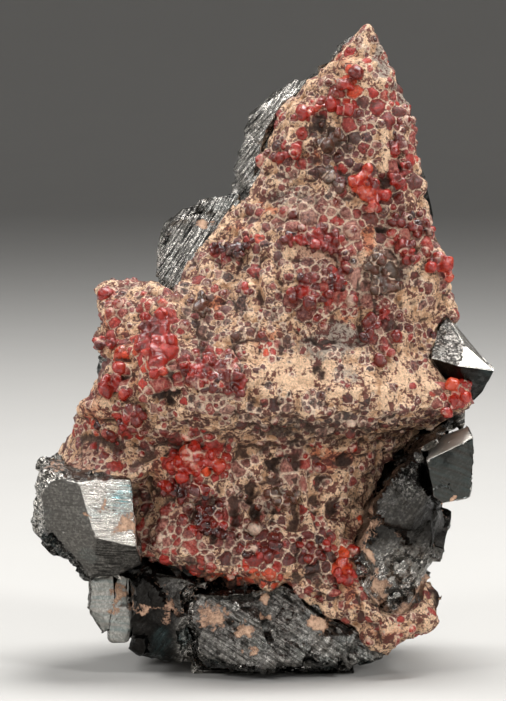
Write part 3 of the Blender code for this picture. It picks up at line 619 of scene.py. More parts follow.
def specular_hematite(name, settings, striae, spacing):
    """Hematite, iron(III) oxide, grown as crystals: a metallic lustre on a steel-grey body ruled with
    growth lines. Light shows it as mirrors, fine bright streaks and sparks, with clay in the seams; part of
    the mirrors and sparks is painted into the body colour as painted highlights and painted glints."""
    material, node, link, inputs, mm = new_material(name)
    turn = Vector((0, 0, 1)).rotation_difference(Vector(striae)).to_euler()
    reach = (7 * spacing, 7 * spacing, 0.45 * spacing)
    ruled = node("Mapping", {"Vector": mm, "Rotation": turn, "Scale": reach}, vector_type="TEXTURE")
    lines = node("TexNoise", {"Vector": ruled, "Scale": 1.0, "Detail": 4.0, "Roughness": 0.6})
    fine = node("MapRange", {"Value": lines, "From Min": 0.38, "From Max": 0.62})
    pitting = node("TexNoise", {"Vector": mm, "Scale": 10.0, "Detail": 4.0, "Roughness": 0.7})
    pits = node("MapRange", {"Value": pitting, "From Min": 0.38, "From Max": 0.62})
    looks = {
        key: node("Attribute", {}, "Fac", attribute_name=key)
        for key in ("shine", "lined", "grainy", "rough", "tilt", "dust", "tarnish")
    }

    # Painted glints: grains whose body colour is made brighter or darker at random, as if each took the
    # light or not.
    cells = node("TexVoronoi", {"Vector": mm, "Scale": 1 / settings.glitter_mm}, "Color")
    painted_glint = node("SeparateColor", {"Color": cells}, "Red")
    painted_glint = node("MapRange", {"Value": painted_glint, "From Min": 0.4, "From Max": 0.95, "To Min": -0.8, "To Max": 2.2})
    painted_glint = node("Math", {0: painted_glint, 1: looks["grainy"], 2: 1.0}, operation="MULTIPLY_ADD")

    # Body colour, carrying the looks' painted highlight and shade and the painted glints: bright between
    # the growth lines and the pits.
    shine = node("Math", {0: looks["shine"], 1: painted_glint}, operation="MULTIPLY")
    for pattern, amount in ((fine, looks["lined"]), (pits, looks["grainy"])):
        dark = node("Math", {0: 1.0, 1: pattern}, operation="SUBTRACT")
        loss = node("Math", {0: dark, 1: amount}, operation="MULTIPLY")
        left = node("Math", {0: 1.0, 1: loss}, operation="SUBTRACT")
        shine = node("Math", {0: shine, 1: left}, operation="MULTIPLY")
    steel = node("Mix", {0: shine, 6: settings.steel_dark, 7: settings.steel_light}, 2, data_type="RGBA")
    film = node("Math", {0: looks["tarnish"], 1: fine}, operation="MULTIPLY")
    steel = node("Mix", {0: film, 6: steel, 7: settings.tarnish}, 2, data_type="RGBA")

    # Clay: thick where the mesh says, and frayed by the pits.
    ragged = node("TexNoise", {"Vector": mm, "Scale": 1.4, "Detail": 4.0, "Roughness": 0.55})
    crumbs = node("TexNoise", {"Vector": mm, "Scale": 4.5, "Detail": 4.0, "Roughness": 0.7})
    frayed = node("Math", {0: crumbs, 1: 1.3, 2: looks["dust"]}, operation="MULTIPLY_ADD")
    frayed = node("Math", {0: ragged, 1: 1.3, 2: frayed}, operation="MULTIPLY_ADD")
    clayed = node("MapRange", {"Value": frayed, "From Min": 1.72, "From Max": 1.92})
    clay = node("Math", {0: pits, 1: 0.3, 2: frayed}, operation="MULTIPLY_ADD")
    clay = node("MapRange", {"Value": clay, "From Min": 1.8, "From Max": 2.5})
    clay = node("Mix", {0: clay, 6: settings.clay_dark, 7: settings.clay_light}, 2, data_type="RGBA")
    link(node("Mix", {0: clayed, 6: steel, 7: clay}, 2, data_type="RGBA"), "Base Color")
    link(node("Math", {0: 1.0, 1: clayed}, operation="SUBTRACT"), "Metallic")
    dull = node("Math", {0: clayed, 1: 0.9}, operation="MULTIPLY")
    uneven = node("Math", {0: pits, 1: 0.12, 2: looks["rough"]}, operation="MULTIPLY_ADD")
    link(node("Math", {0: uneven, 1: dull}, operation="MAXIMUM"), "Roughness")

    # Relief, and grains that each lean their own way.
    height = node("Math", {0: pits, 1: looks["grainy"]}, operation="MULTIPLY")
    grooves = node("Math", {0: fine, 1: looks["lined"], 2: height}, operation="MULTIPLY_ADD")
    bump = node("Bump", {"Height": grooves, "Strength": 0.5, "Distance": 0.08 * MM})
    lean = node("VectorMath", {0: cells, 1: (0.5, 0.5, 0.5)}, operation="SUBTRACT")
    blocks = node("TexVoronoi", {"Vector": mm, "Scale": 1 / settings.block_mm}, "Color")
    blocks = node("VectorMath", {0: blocks, 1: (0.5, 0.5, 0.5)}, operation="SUBTRACT")
    lean = node("VectorMath", {0: lean, "Scale": looks["grainy"]}, operation="SCALE")
    lean = node("VectorMath", {0: lean, 1: blocks}, operation="ADD")
    lean = node("VectorMath", {0: lean, "Scale": looks["tilt"]}, operation="SCALE")
    leaning = node("VectorMath", {0: bump, 1: lean}, operation="ADD")
    link(node("VectorMath", {0: leaning}, operation="NORMALIZE"), "Normal")
    return material


def garnet_colours(node, depth, grey, settings):
    """The colour of a garnet, from wine-black where it is thick to orange-red where it is thin."""
    colour = settings.black
    stops = ((0.02, 0.34, settings.wine), (0.4, 0.74, settings.red), (0.78, 1.08, settings.orange))
    for low, high, deeper in stops:
        share = node("MapRange", {"Value": depth, "From Min": low, "From Max": high})
        colour = node("Mix", {0: share, 6: colour, 7: deeper}, 2, data_type="RGBA")
    dull = node("Math", {0: grey, 1: 0.85}, operation="MULTIPLY")
    return node("Mix", {0: dull, 6: colour, 7: settings.grey}, 2, data_type="RGBA")


def clay_dusted_druse(settings, garnet_settings):
    """A druse of fine andradite, dusted with clay and iron oxide: dry and matte. Flush glassy garnets show
    between pale dust lines, with cream dust and a painted highlight on the crests, rust, and dirt and
    painted shade in the seams and hollows."""
    material, node, link, inputs, mm = new_material("clay_dusted_druse")
    patch = node("TexNoise", {"Vector": mm, "Scale": 1.1, "Detail": 5.0, "Roughness": 0.65})
    sugar = node("TexNoise", {"Vector": mm, "Scale": 5.5, "Detail": 3.0, "Roughness": 0.75})
    speck = node("TexNoise", {"Vector": mm, "Scale": 3.7, "Detail": 4.0, "Roughness": 0.58})
    keys = (*CRUST_TINTS, "hollow", "crest_dust_and_highlight", "garnet", "wall", "tone", "dull", "dust")
    masks = {key: node("Attribute", {}, "Fac", attribute_name=key) for key in keys}

    # Ground: cream on the crests, partly cream dust and partly a painted highlight, tan in between.
    raised = node("Math", {0: masks["crest_dust_and_highlight"], 1: 0.4, 2: patch}, operation="MULTIPLY_ADD")
    share = node("MapRange", {"Value": raised, "From Min": 0.3, "From Max": 0.62})
    colour = node("Mix", {0: share, 6: settings.tan, 7: settings.cream}, 2, data_type="RGBA")
    stains = (("cream", settings.cream, 0.85), ("pink", settings.pink, 0.7), ("grey", settings.grey, 0.8),
              ("rust", settings.rust, 0.75))
    for key, stain, most in stains:
        there = node("Math", {0: patch, 1: 1.8, 2: masks[key]}, operation="MULTIPLY_ADD")
        share = node("MapRange", {"Value": there, "From Min": 1.15, "From Max": 1.5, "To Max": most})
        colour = node("Mix", {0: share, 6: colour, 7: stain}, 2, data_type="RGBA")

    # Specks of bare dark garnet, in clumps.
    clumps = node("Math", {0: patch, 1: 1.3, 2: speck}, operation="MULTIPLY_ADD")
    bare = node("Math", {0: masks["cream"], 1: -0.08, 2: clumps}, operation="MULTIPLY_ADD")
    speckled = node("MapRange", {"Value": bare, "From Min": 1.125, "From Max": 1.22, "To Max": 0.93})
    redder = node("MapRange", {"Value": patch, "From Min": 0.42, "From Max": 0.58})
    redder = node("Mix", {0: redder, 6: settings.speck, 7: settings.wine_speck}, 2, data_type="RGBA")
    colour = node("Mix", {0: speckled, 6: colour, 7: redder}, 2, data_type="RGBA")

    # Flush garnets, filmed with dust, each in a thin broken line of pale dust.
    uneven = node("MapRange", {"Value": speck, **NOISE_REACH, "To Min": -0.16, "To Max": 0.16})
    depth = node("Math", {0: masks["tone"], 1: uneven}, operation="ADD")
    garnet = garnet_colours(node, depth, masks["dull"], garnet_settings)
    rim = node("MapRange", {"Value": masks["wall"], "From Max": 0.25, "To Min": 0.16, "To Max": 0.0})
    thick = node("Math", {0: masks["dust"], 1: 0.42, 2: speck}, operation="MULTIPLY_ADD")
    thick = node("Math", {0: thick, 1: rim}, operation="ADD")
    filmed = node("MapRange", {"Value": thick, "From Min": 0.7, "From Max": 1.0, "To Max": 0.75})
    garnet = node("Mix", {0: filmed, 6: garnet, 7: settings.film}, 2, data_type="RGBA")
    edge = node("Math", {0: sugar, 1: -0.16, 2: masks["wall"]}, operation="MULTIPLY_ADD")
    edge = node("Math", {0: masks["dust"], 1: -0.042, 2: edge}, operation="MULTIPLY_ADD")
    inside = node("MapRange", {"Value": edge, "From Min": -0.05, "From Max": -0.01})
    chalky = node("MapRange", {"Value": thick, "From Min": 0.45, "From Max": 0.75, "To Max": 0.85})
    dusted = node("Mix", {0: chalky, 6: colour, 7: settings.line}, 2, data_type="RGBA")
    held = node("MapRange", {"Value": masks["garnet"], "From Min": 0.35, "From Max": 0.65})
    line = node("Mix", {0: inside, 6: dusted, 7: garnet}, 2, data_type="RGBA")
    colour = node("Mix", {0: held, 6: colour, 7: line}, 2, data_type="RGBA")
    glassy = node("Math", {0: held, 1: inside}, operation="MULTIPLY")

    # Dirt and painted shade in the seams and hollows, then painted shadow in the holes, undercuts and
    # undersides.
    dirt_and_shade = node("Math", {0: patch, 1: 1.2, 2: masks["hollow"]}, operation="MULTIPLY_ADD")
    share = node("MapRange", {"Value": dirt_and_shade, "From Min": 0.75, "From Max": 1.35, "To Max": 0.9})
    colour = node("Mix", {0: share, 6: colour, 7: settings.seam}, 2, data_type="RGBA")
    there = node("Math", {0: patch, 1: 2.2, 2: masks["shade"]}, operation="MULTIPLY_ADD")
    share = node("MapRange", {"Value": there, "From Min": 1.45, "From Max": 1.95, "To Max": 0.88})
    colour = node("Mix", {0: share, 6: colour, 7: settings.shade}, 2, data_type="RGBA")
    light = node("MapRange", {"Value": sugar, **NOISE_REACH, "To Min": 0.52, "To Max": 1.25})
    link(node("VectorMath", {0: colour, "Scale": light}, operation="SCALE"), "Base Color")
    dry = node("MapRange", {"Value": sugar, **NOISE_REACH, "To Min": 0.95, "To Max": 0.65})
    clean = node("Math", {0: 1.0, 1: filmed}, operation="SUBTRACT")
    polish = node("Math", {0: glassy, 1: clean}, operation="MULTIPLY")
    link(node("Math", {0: polish, 1: -0.36, 2: dry}, operation="MULTIPLY_ADD"), "Roughness")
    inputs["IOR"].default_value = 1.6
    height = node("Math", {0: polish, 1: -0.7, 2: 1.0}, operation="MULTIPLY_ADD")
    height = node("Math", {0: height, 1: sugar}, operation="MULTIPLY")
    link(node("Bump", {"Height": height, "Strength": 1.0, "Distance": 0.28 * MM}), "Normal")
    return material


def andradite(settings):
    """Andradite garnet, calcium iron silicate, grown as dodecahedra: glassy, with a high IOR of 1.89, so
    each face glints. Thin ones glow orange-red, thick ones go to wine, and dust films their feet."""
    material, node, link, inputs, mm = new_material("andradite")
    keys = ("tone", "grey", "dust")
    tone, grey, dust = (node("Attribute", {}, "Fac", attribute_name=key) for key in keys)
    cloud = node("TexNoise", {"Vector": mm, "Scale": 2.0, "Detail": 3.0})
    film = node("TexNoise", {"Vector": mm, "Scale": 4.5, "Detail": 4.0, "Roughness": 0.7})
    uneven = node("MapRange", {"Value": cloud, **NOISE_REACH, "To Min": -0.22, "To Max": 0.16})
    depth = node("Math", {0: tone, 1: uneven}, operation="ADD")
    colour = garnet_colours(node, depth, grey, settings)
    thick = node("Math", {0: film, 1: 0.9, 2: dust}, operation="MULTIPLY_ADD")
    filmed = node("MapRange", {"Value": thick, "From Min": 0.78, "From Max": 1.2, "To Max": 0.8})
    link(node("Mix", {0: filmed, 6: colour, 7: settings.dust}, 2, data_type="RGBA"), "Base Color")
    gloss = node("MapRange", {"Value": cloud, **NOISE_REACH, "To Min": 0.16, "To Max": 0.42})
    powder = node("Math", {0: filmed, 1: 0.95}, operation="MULTIPLY")
    link(node("Math", {0: gloss, 1: powder}, operation="MAXIMUM"), "Roughness")
    inputs["IOR"].default_value = 1.89
    inputs["Specular IOR Level"].default_value = 0.28
    open_glass = node("Math", {0: 1.0, 1: filmed}, operation="SUBTRACT")
    thin = node("MapRange", {"Value": tone, "From Min": 0.4, "To Min": 0.05, "To Max": 0.4})
    link(node("Math", {0: open_glass, 1: thin}, operation="MULTIPLY"), "Transmission Weight")
    inputs["Subsurface Weight"].default_value = 0.15
    inputs["Subsurface Radius"].default_value = (1.0, 0.2, 0.1)
    inputs["Subsurface Scale"].default_value = 0.4 * MM
    link(node("Bump", {"Height": film, "Strength": 0.5, "Distance": 0.07 * MM}), "Normal")
    return material


# ---------------------------------------------------------------------------------------------
# Settings
# ---------------------------------------------------------------------------------------------


def colour_property(name, description, hex_colour):
    """A colour that can be set in the panel."""
    colour = linear(hex_colour)
    return bpy.props.FloatVectorProperty(
        name=name, description=description, default=colour, subtype="COLOR", size=3, min=0, max=1
    )


def length_property(name, description, millimetres):
    """A length in mm that can be set in the panel."""
    return bpy.props.FloatProperty(
        name=name, description=description + ", in mm", default=millimetres, min=0.02, subtype="NONE"
    )


class HematiteSettings(bpy.types.PropertyGroup):
    grain_mm: length_property("Grain", "Cell size of the mass's mesh", 0.24)
    chip_mm: length_property("Chip", "Usual width of a broken face", 1.9)
    glitter_mm: length_property("Glitter", "Width of one glinting grain", 0.17)
    block_mm: length_property("Block", "Width of one block between cleavages", 0.55)
    steel_dark: colour_property("Dark steel", "Body colour between the growth lines", "#100F0E")
    steel_light: colour_property("Light steel", "Body colour on the growth lines", "#CFCAC2")
    tarnish: colour_property("Tarnish", "Blue-green cast of an oxide film", "#4F7C80")
    clay_light: colour_property("Light clay", "Dust on the open faces", "#D6B296")
    clay_dark: colour_property("Dark clay", "Dust in the seams", "#6E4732")


class DruseSettings(bpy.types.PropertyGroup):
    grain_mm: length_property("Grain", "Cell size of the druse's mesh", 0.13)
    lump_mm: length_property("Lumps", "Height of the lumps", 0.3)
    rib_mm: length_property("Ribs", "Height of the recess's ribs", 1.5)
    cream: colour_property("Cream", "Clean clay dust", "#FFD6B0")
    tan: colour_property("Tan", "Common clay dust", "#B27A4E")
    pink: colour_property("Pink", "Dust over red garnet", "#D09A84")
    rust: colour_property("Rust", "Iron stain", "#D0683A")
    grey: colour_property("Grey", "Grey dust", "#9C958C")
    # Seam: dirt and painted shade, laid into the druse's seams and hollows.
    seam: colour_property("Seam", "Dirt in the seams", "#4A2C1E")
    # Open seam: painted shade, the shadow laid into holes, seams, undercuts and undersides.
    shade: colour_property("Open seam", "Bare dark hollows", "#382317")
    speck: colour_property("Specks", "Bare dark garnet in the clay", "#38241C")
    wine_speck: colour_property("Wine specks", "Bare wine garnet in the clay", "#6A261C")
    film: colour_property("Film", "Dust on the flush garnets", "#DBA894")
    line: colour_property("Line", "Dust between the flush garnets", "#FFE2C8")


class GarnetSettings(bpy.types.PropertyGroup):
    bunch_grain_mm: length_property("Bunch grain", "Cell size of the bunches' meshes", 0.11)
    black: colour_property("Wine-black", "Thickest crystals", "#2C0D08")
    wine: colour_property("Wine", "Thick crystals", "#66180E")
    red: colour_property("Red", "Thin crystals", "#B01F0C")
    orange: colour_property("Orange-red", "Thinnest crystals", "#E04A18")
    grey: colour_property("Grey", "Dull crystals", "#54412F")
    dust: colour_property("Dust", "Film on the crystals' feet", "#E8CAB2")


class StageSettings(bpy.types.PropertyGroup):
    floor: colour_property("Floor", "Colour of the floor", "#C2C0BC")
    lens_mm: length_property("Lens", "Focal length", 200)
    elevation: bpy.props.FloatProperty(
        name="Elevation", description="Fall of the line of sight", default=SIGHT_ANGLE, subtype="ANGLE"
    )


# ---------------------------------------------------------------------------------------------
# Pieces
# ---------------------------------------------------------------------------------------------


class SPECIMEN_OT_hematite_mass(bpy.types.Operator):
    """Builds the massive hematite that carries everything"""

    bl_idname = "specimen.hematite_mass"
    bl_label = "Hematite Mass"

    @staticmethod
    def covered(points):
        """1 where the druse hides the mass from the front, 0 where it is open."""
        return smooth_step(1.0, 0.5, away_from("garnet_crust", points))

    def execute(self, context):
        settings = context.scene.specimen_hematite
        mesh = remeshed(node_shape("hematite_matrix"), settings.grain_mm)
        mesh = coarsened(mesh, self.covered(read_points(mesh)), MASS_TRIANGLES)
        points = read_points(mesh)

        # Worn edges, then broken faces and growth steps over all but the flat foot.
        worn = patches(points, WORN_EDGES)[:, None]
        write_points(mesh, points + worn * (settled(mesh, 90) - points))
        points, normals = read_points(mesh), read_normals(mesh)
        flat_foot = smooth_step(0.05, 0.9, points[:, 2])[:, None]
        area = len(points) * settings.grain_mm**2
        coarse = chip_depths(points, normals, int(area / (2 * settings.chip_mm) ** 2), 0.2, 1)
        coarse = np.clip(coarse, -0.6, 0.3)
        fine = chip_depths(points, normals, int(area / settings.chip_mm**2 * 2), 0.25, 2)
        fine = np.clip(fine, -0.3, 0.2)
        blocky = in_ellipse(points, WINDOW)
        moves = normals * (0.12 + coarse * (1 + 0.6 * blocky) + fine * (0.5 + 1.2 * blocky))[:, None]
        moves += 0.5 * smooth_step(5, 1, points[:, 0])[:, None] * terrace_moves(points, STRIAE, 0.6, 3)
        points = points + moves * flat_foot
        points[:, 2] = np.maximum(points[:, 2], 0)
        write_points(mesh, points)

        # What the material needs: looks, clay and oxide film.
        hollow = hollowness(mesh, 6)
        looks = {"plain": np.full(len(points), 0.35)}
        looks["broken"] = 0.6 * smooth_step(0.1, 0.6, noise(points, 2.6, 6) + 0.3 * noise(points, 0.9, 7))
        looks["ruled"] = 0.5 * smooth_step(0.2, 0.6, noise(points, 4.0, 9))
        for look, place, strength in MASS_LOOKS:
            looks[look] = looks.get(look, 0) + strength * in_ellipse(points, place)
        write_looks(mesh, looks)
        clay = patches(drawn_out(points, 0.4, 50), CLAY_PATCHES)
        clay += 0.35 * smooth_step(0.03, 0.2, hollow) + 0.12 * noise(points, 3.0, 5)
        write_value(mesh, "dust", clay)
        write_value(mesh, "tarnish", 0.5 * smooth_step(0.5, 0.9, noise(points, 4.0, 8)))
        material = specular_hematite("massive_hematite", settings, STRIAE, STRIAE_SPACING)
        add_piece("hematite_mass", mesh, material, ["hematite_matrix"], sharp=40)
        return {"FINISHED"}


def crystal_mesh(node):
    """A frame crystal with its edges worn a little, cut fine enough to carry growth lines."""
    shape = node_shape(node)
    bmesh.ops.dissolve_limit(shape, angle_limit=math.radians(1.5), verts=shape.verts, edges=shape.edges)
    bmesh.ops.bevel(
        shape,
        geom=shape.edges[:],
        offset=EDGE_WEAR,
        segments=1,
        profile=0.5,
        affect="EDGES",
        clamp_overlap=True,
    )
    for _ in range(9):
        bmesh.ops.triangulate(shape, faces=shape.faces)
        long_edges = [edge for edge in shape.edges if edge.calc_length() > CRYSTAL_GRAIN]
        if not long_edges:
            break
        bmesh.ops.subdivide_edges(shape, edges=long_edges, cuts=1)
    bmesh.ops.triangulate(shape, faces=shape.faces)
    return as_mesh(shape, node)


class SPECIMEN_OT_hematite_crystals(bpy.types.Operator):
    """Builds the hematite crystals that stand out of the mass"""

    bl_idname = "specimen.hematite_crystals"
    bl_label = "Hematite Crystals"

    def execute(self, context):
        settings = context.scene.specimen_hematite
        for number, (node, (striae, spacing, depth, light, faces)) in enumerate(HEMATITE_CRYSTALS.items()):
            mesh = crystal_mesh(node)
            points, normals = read_points(mesh), read_normals(mesh)

            # The look of each point's face, found by the way that it faces.
            facing = normals @ unit([way for _, way in faces]).T
            nearest, match = facing.argmax(axis=1), facing.max(axis=1)
            looks = {"plain": np.where(match < 0.7, 0.6, 0.0), "broken": np.where(match < 0.7, 0.4, 0.0)}
            for rank, (look, _) in enumerate(faces):
                looks[look] = looks.get(look, 0) + np.where((nearest == rank) & (match >= 0.7), 1.0, 0.0)

            # Growth lines, flakes and chips.
            along = unit(striae)
            ruled = np.outer(points @ along, along) + 0.12 * (points - np.outer(points @ along, along))
            lines = noise(ruled, spacing, number) + 0.5 * noise(ruled, spacing * 0.4, number + 20)
            values = write_looks(mesh, looks, light)
            flakes = np.clip(chip_depths(points, normals, len(points) // 600, 0.26, number), -1.2, 0.1)
            chips = np.clip(chip_depths(points, normals, len(points) // 65, 0.38, number + 40), -0.5, 0.1)
            worn = values["flaked"] * (0.15 + 0.6 * flakes) + values["chipped"] * (0.1 + 0.6 * chips)
            relief = depth * lines * (0.4 + looks.get("ruled", 0)) + worn
            points = points + normals * relief[:, None]
            if "plate" in node:
                points[:, 2] += 0.45 * smooth_step(6.2, 7.4, points[:, 2])
                points[:, 0] += 0.3 * (points[:, 0] - points[:, 0].mean())
            write_points(mesh, points)

            # Clay and oxide film.
            write_value(mesh, "dust", patches(drawn_out(points, 0.4, number + 90), CLAY_PATCHES))
            teal = smooth_step(0.1, 0.6, noise(points, 1.8, number + 95))
            teal = teal * (0.1 + 0.4 * looks.get("ruled", 0))
            teal += TEAL_FILM * in_ellipse(drawn_out(points, 0.3, number), TEAL_PLACE)
            teal += 0.3 * looks.get("pale", 0) + 0.1 * looks.get("glassy", 0)
            write_value(mesh, "tarnish", teal)
            material = specular_hematite("grown_" + node, settings, striae, spacing)
            name = node.replace("hematite_", "hematite_grown_")
            add_piece(name, mesh, material, [node], sharp=18)
        return {"FINISHED"}


class SPECIMEN_OT_druse(bpy.types.Operator):
    """Builds the sugary druse that covers the show face"""

    bl_idname = "specimen.druse"
    bl_label = "Druse"

    @staticmethod
    def grow(mesh, points, normals):
        """Swells the flush garnets of the druse, and marks the seats of the ones that stand out."""
        random = np.random.default_rng(7)
        cover, usual, tone, grey, dust = patch_values(points).T
        rusty = patches(points, CRUST_TINTS["rust"])
        tone = tone + 0.4 * rusty
        radii = np.clip(usual * np.exp(random.normal(0.0, 0.3, len(points))), 0.17, 0.75)
        own, wall, middles = grown_cells(points, radii, 21)
        count = len(middles)
        odds = 1.05 * cover - 0.4 * rusty + 0.35 * noise(points, 1.7, 33) + 0.15 * noise(points, 0.7, 34)
        grown = (odds[middles] > random.uniform(size=count)) * smooth_step(0.7, 0.3, normals[middles, 1])
        size = radii[middles][own]
        swell = 0.5 * size * smooth_step(0.0, 0.7, wall / size) - 0.07
        write_points(mesh, points + normals * (swell * grown[own])[:, None])
        write_value(mesh, "garnet", grown[own])
        write_value(mesh, "wall", wall)
        for name, value, spread in (("tone", tone, 0.17), ("dull", grey, 0.16), ("dust", dust, 0.2)):
            write_value(mesh, name, np.clip(value[middles] + random.normal(0, spread, count), 0, 1.1)[own])
        standing = (grown > 0.9) & (random.uniform(size=count) < STANDING * (1.2 - dust[middles]))
        seat = np.zeros(len(points))
        seat[middles[standing]] = radii[middles[standing]]
        write_value(mesh, "seat", seat)

    @staticmethod
    def beside_crystals(points):
        """1 where a hematite crystal almost touches the druse, 0 a little further off."""
        nearest = np.full(len(points), 9.0)
        for node in HEMATITE_CRYSTALS:
            low, high = (np.array(corner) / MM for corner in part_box(node))
            around = np.flatnonzero(((points > low - 1) & (points < high + 1)).all(axis=1))
            nearest[around] = np.minimum(nearest[around], away_from(node, points[around]))
        return smooth_step(0.8, 0.3, nearest)

    def execute(self, context):
        settings = context.scene.specimen_druse
        garnet_settings = context.scene.specimen_garnet
        mesh = remeshed(node_shape("garnet_crust"), settings.grain_mm)
        mesh = coarsened(mesh, smooth_step(-0.1, 0.4, read_normals(mesh)[:, 1]), DRUSE_TRIANGLES)
        points, normals = read_points(mesh), read_normals(mesh)

        # Relief: lumps, the recess's ribs, holes, the undercut's streaks, and clear of the crystals.
        behind = smooth_step(0.2, 0.8, normals[:, 1])
        front = 1 - behind
        ragged = drawn_out(points, 0.4, 60)
        tints = {name: patches(ragged, table) for name, table in CRUST_TINTS.items()}
        lumps = 0.8 * noise(points, 3.4, 1) + billows(points, 1.7, 2) + 0.55 * billows(points, 0.85, 3)
        lumps += 0.25 * noise(points, 0.35, 4)
        relief = 0.5 * behind - 0.05 + settings.lump_mm * lumps * front * (1 - 0.55 * tints["cream"])
        ribs = 0.35 - 1.3 * np.abs(noise(points * (1.0, 1.0, 0.8), 1.7, 12)) + 0.3 * noise(points, 0.7, 13)
        relief += settings.rib_mm * ribs * in_ellipse(points, RECESS) * front
        for place, depth in HOLLOWS:
            relief -= depth * in_ellipse(ragged, place) * front
        streaks = noise(points * (0.22, 0.5, 1.0), 0.55, 7) + 0.6 * noise(points * (0.3, 0.6, 1.0), 0.3, 8)
        relief += 0.28 * streaks * in_ellipse(points, UNDERCUT) * front
        relief += 0.3 * self.beside_crystals(points)
        points = points + normals * relief[:, None]
        for place, move in SAGS:
            points = points + (in_ellipse(points, place) * front)[:, None] * np.array(move)
        write_points(mesh, points)

        # What the material needs: hollows, which get dirt and painted shade, crests, which get cream dust
        # and a painted highlight, and stains.
        deep, wide = hollowness(mesh, 10), hollowness(mesh, 60)
        hollow = 0.6 * deep + wide + 0.06 * noise(points, 0.6, 9)
        write_value(mesh, "hollow", smooth_step(0.06, 0.36, hollow))
        in_recess = in_ellipse(points, RECESS)
        # Cream dust and a painted highlight on the crests and on the recess's ribs.
        crest_dust_and_highlight = smooth_step(-0.02, -0.2, deep + 0.6 * wide)
        write_value(mesh, "crest_dust_and_highlight", np.maximum(crest_dust_and_highlight, in_recess * smooth_step(0.0, 0.3, ribs)))
        # Painted shade on the druse: the undercut's dark streaks deepened, the lows between the recess's
        # ribs, and faces turned downward.
        dark_streaks = smooth_step(0.1, -0.6, streaks) * in_ellipse(points, UNDERCUT)
        shade_between_ribs = 0.8 * smooth_step(-0.3, -0.75, ribs) * in_recess
        underside_shade = 0.4 * smooth_step(-0.45, -0.85, normals[:, 2]) * front
        tints["shade"] = np.maximum.reduce([tints["shade"], 0.9 * dark_streaks, shade_between_ribs, underside_shade])
        for name, strength in tints.items():
            write_value(mesh, name, strength)
        self.grow(mesh, points, normals)
        material = clay_dusted_druse(settings, garnet_settings)
        add_piece("garnet_druse", mesh, material, ["garnet_crust"])
        return {"FINISHED"}


class SPECIMEN_OT_garnet_bunches(bpy.types.Operator):
    """Builds the bunches of larger garnets"""

    bl_idname = "specimen.garnet_bunches"
    bl_label = "Garnet Bunches"

    def execute(self, context):
        settings = context.scene.specimen_garnet
        slots = {part["node"]: part["material_slot"] for part in frame["record"]["subparts"]}
        druse = bpy.data.objects["garnet_druse"].data
        tree = point_tree(read_points(druse) / MM)
        for node in sorted(frame["nodes"]):
            slot = slots.get(node)
            if slot not in BUNCH_TONES:
                continue
            mesh = remeshed(node_shape(node), settings.bunch_grain_mm)
            points, normals = read_points(mesh), read_normals(mesh)
            tone, grey, width = BUNCH_TONES[slot]

            # Swollen crystals.
            random = np.random.default_rng(len(points))
            radii = 0.5 * width * np.exp(random.normal(0, 0.22, len(points)))
            own, wall, middles = grown_cells(points, radii, len(points))
            bulge = 0.3 * width**0.7 * (smooth_step(0.0, 0.8, wall / radii[middles][own]) - 0.5)
            points = points + normals * bulge[:, None]
            write_points(mesh, points)

            # Their tones, and the dust in their seams and at their feet.
            shade = random.normal(0, 0.15, len(middles))[own] + 0.22 * noise(points, 2.6, 7)
            height = np.array([tree.find(point)[2] for point in points])
            write_value(mesh, "tone", np.maximum(tone + shade + 0.1 * noise(points, 1.1, 4), 0.12))
            write_value(mesh, "grey", np.full(len(points), grey))
            seam = smooth_step(0.1, 0.03, wall) * smooth_step(-0.5, 0.3, noise(points, 0.9, 6))
            foot = 0.4 * smooth_step(0.3, 0.0, height)
            write_value(mesh, "dust", 0.14 + 0.5 * seam + foot + 0.4 * noise(points, 1.0, 5))
            name = node.replace("garnet", "andradite", 1)
            add_piece(name, mesh, garnet_material(settings), [node])
        return {"FINISHED"}


def garnet_material(settings):
    """The garnets' material, made once."""
    return bpy.data.materials.get("andradite") or andradite(settings)


def garnet_form(cuts, roundness):
    """Points and triangles of a rhombic dodecahedron, its faces cut and drawn towards a ball."""
    shape = bmesh.new()
    corners = [Vector(corner) / 2 for corner in itertools.product((-1, 1), repeat=3)]
    corners += [Vector(row) * sign for row in Matrix.Identity(3) for sign in (-1, 1)]
    bmesh.ops.convex_hull(shape, input=[shape.verts.new(corner) for corner in corners])
    if cuts:
        bmesh.ops.subdivide_edges(shape, edges=shape.edges, cuts=cuts, use_grid_fill=True)
    bmesh.ops.triangulate(shape, faces=shape.faces)
    for vertex in shape.verts:
        vertex.co = vertex.co.lerp(vertex.co.normalized() * 0.92, roundness) * 1.08
    shape.verts.index_update()
    points = np.array([v.co for v in shape.verts])
    triangles = np.array([[v.index for v in face.verts] for face in shape.faces])
    shape.free()
    return points, triangles


def random_turns(count, random):
    """Random rotations as 3 by 3 matrices."""
    w, x, y, z = unit(random.normal(size=(count, 4))).T
    rows = (
        (1 - 2 * (y * y + z * z), 2 * (x * y - w * z), 2 * (x * z + w * y)),
        (2 * (x * y + w * z), 1 - 2 * (x * x + z * z), 2 * (y * z - w * x)),
        (2 * (x * z - w * y), 2 * (y * z + w * x), 1 - 2 * (x * x + y * y)),
    )
    return np.stack([np.stack(row, -1) for row in rows], 1)


def patch_values(points):
    """What grows at each point: cover, radius, tone, grey and dust, blended from the patches."""
    weights = [np.full(len(points), COMMON_WEIGHT)]
    values = [COMMON_GARNETS]
    for place, look in GARNET_PATCHES.values():
        weights.append(in_ellipse(points, place))
        values.append(look)
    weights = np.array(weights) ** 1.5
    return (weights / weights.sum(axis=0)).T @ np.array(values)


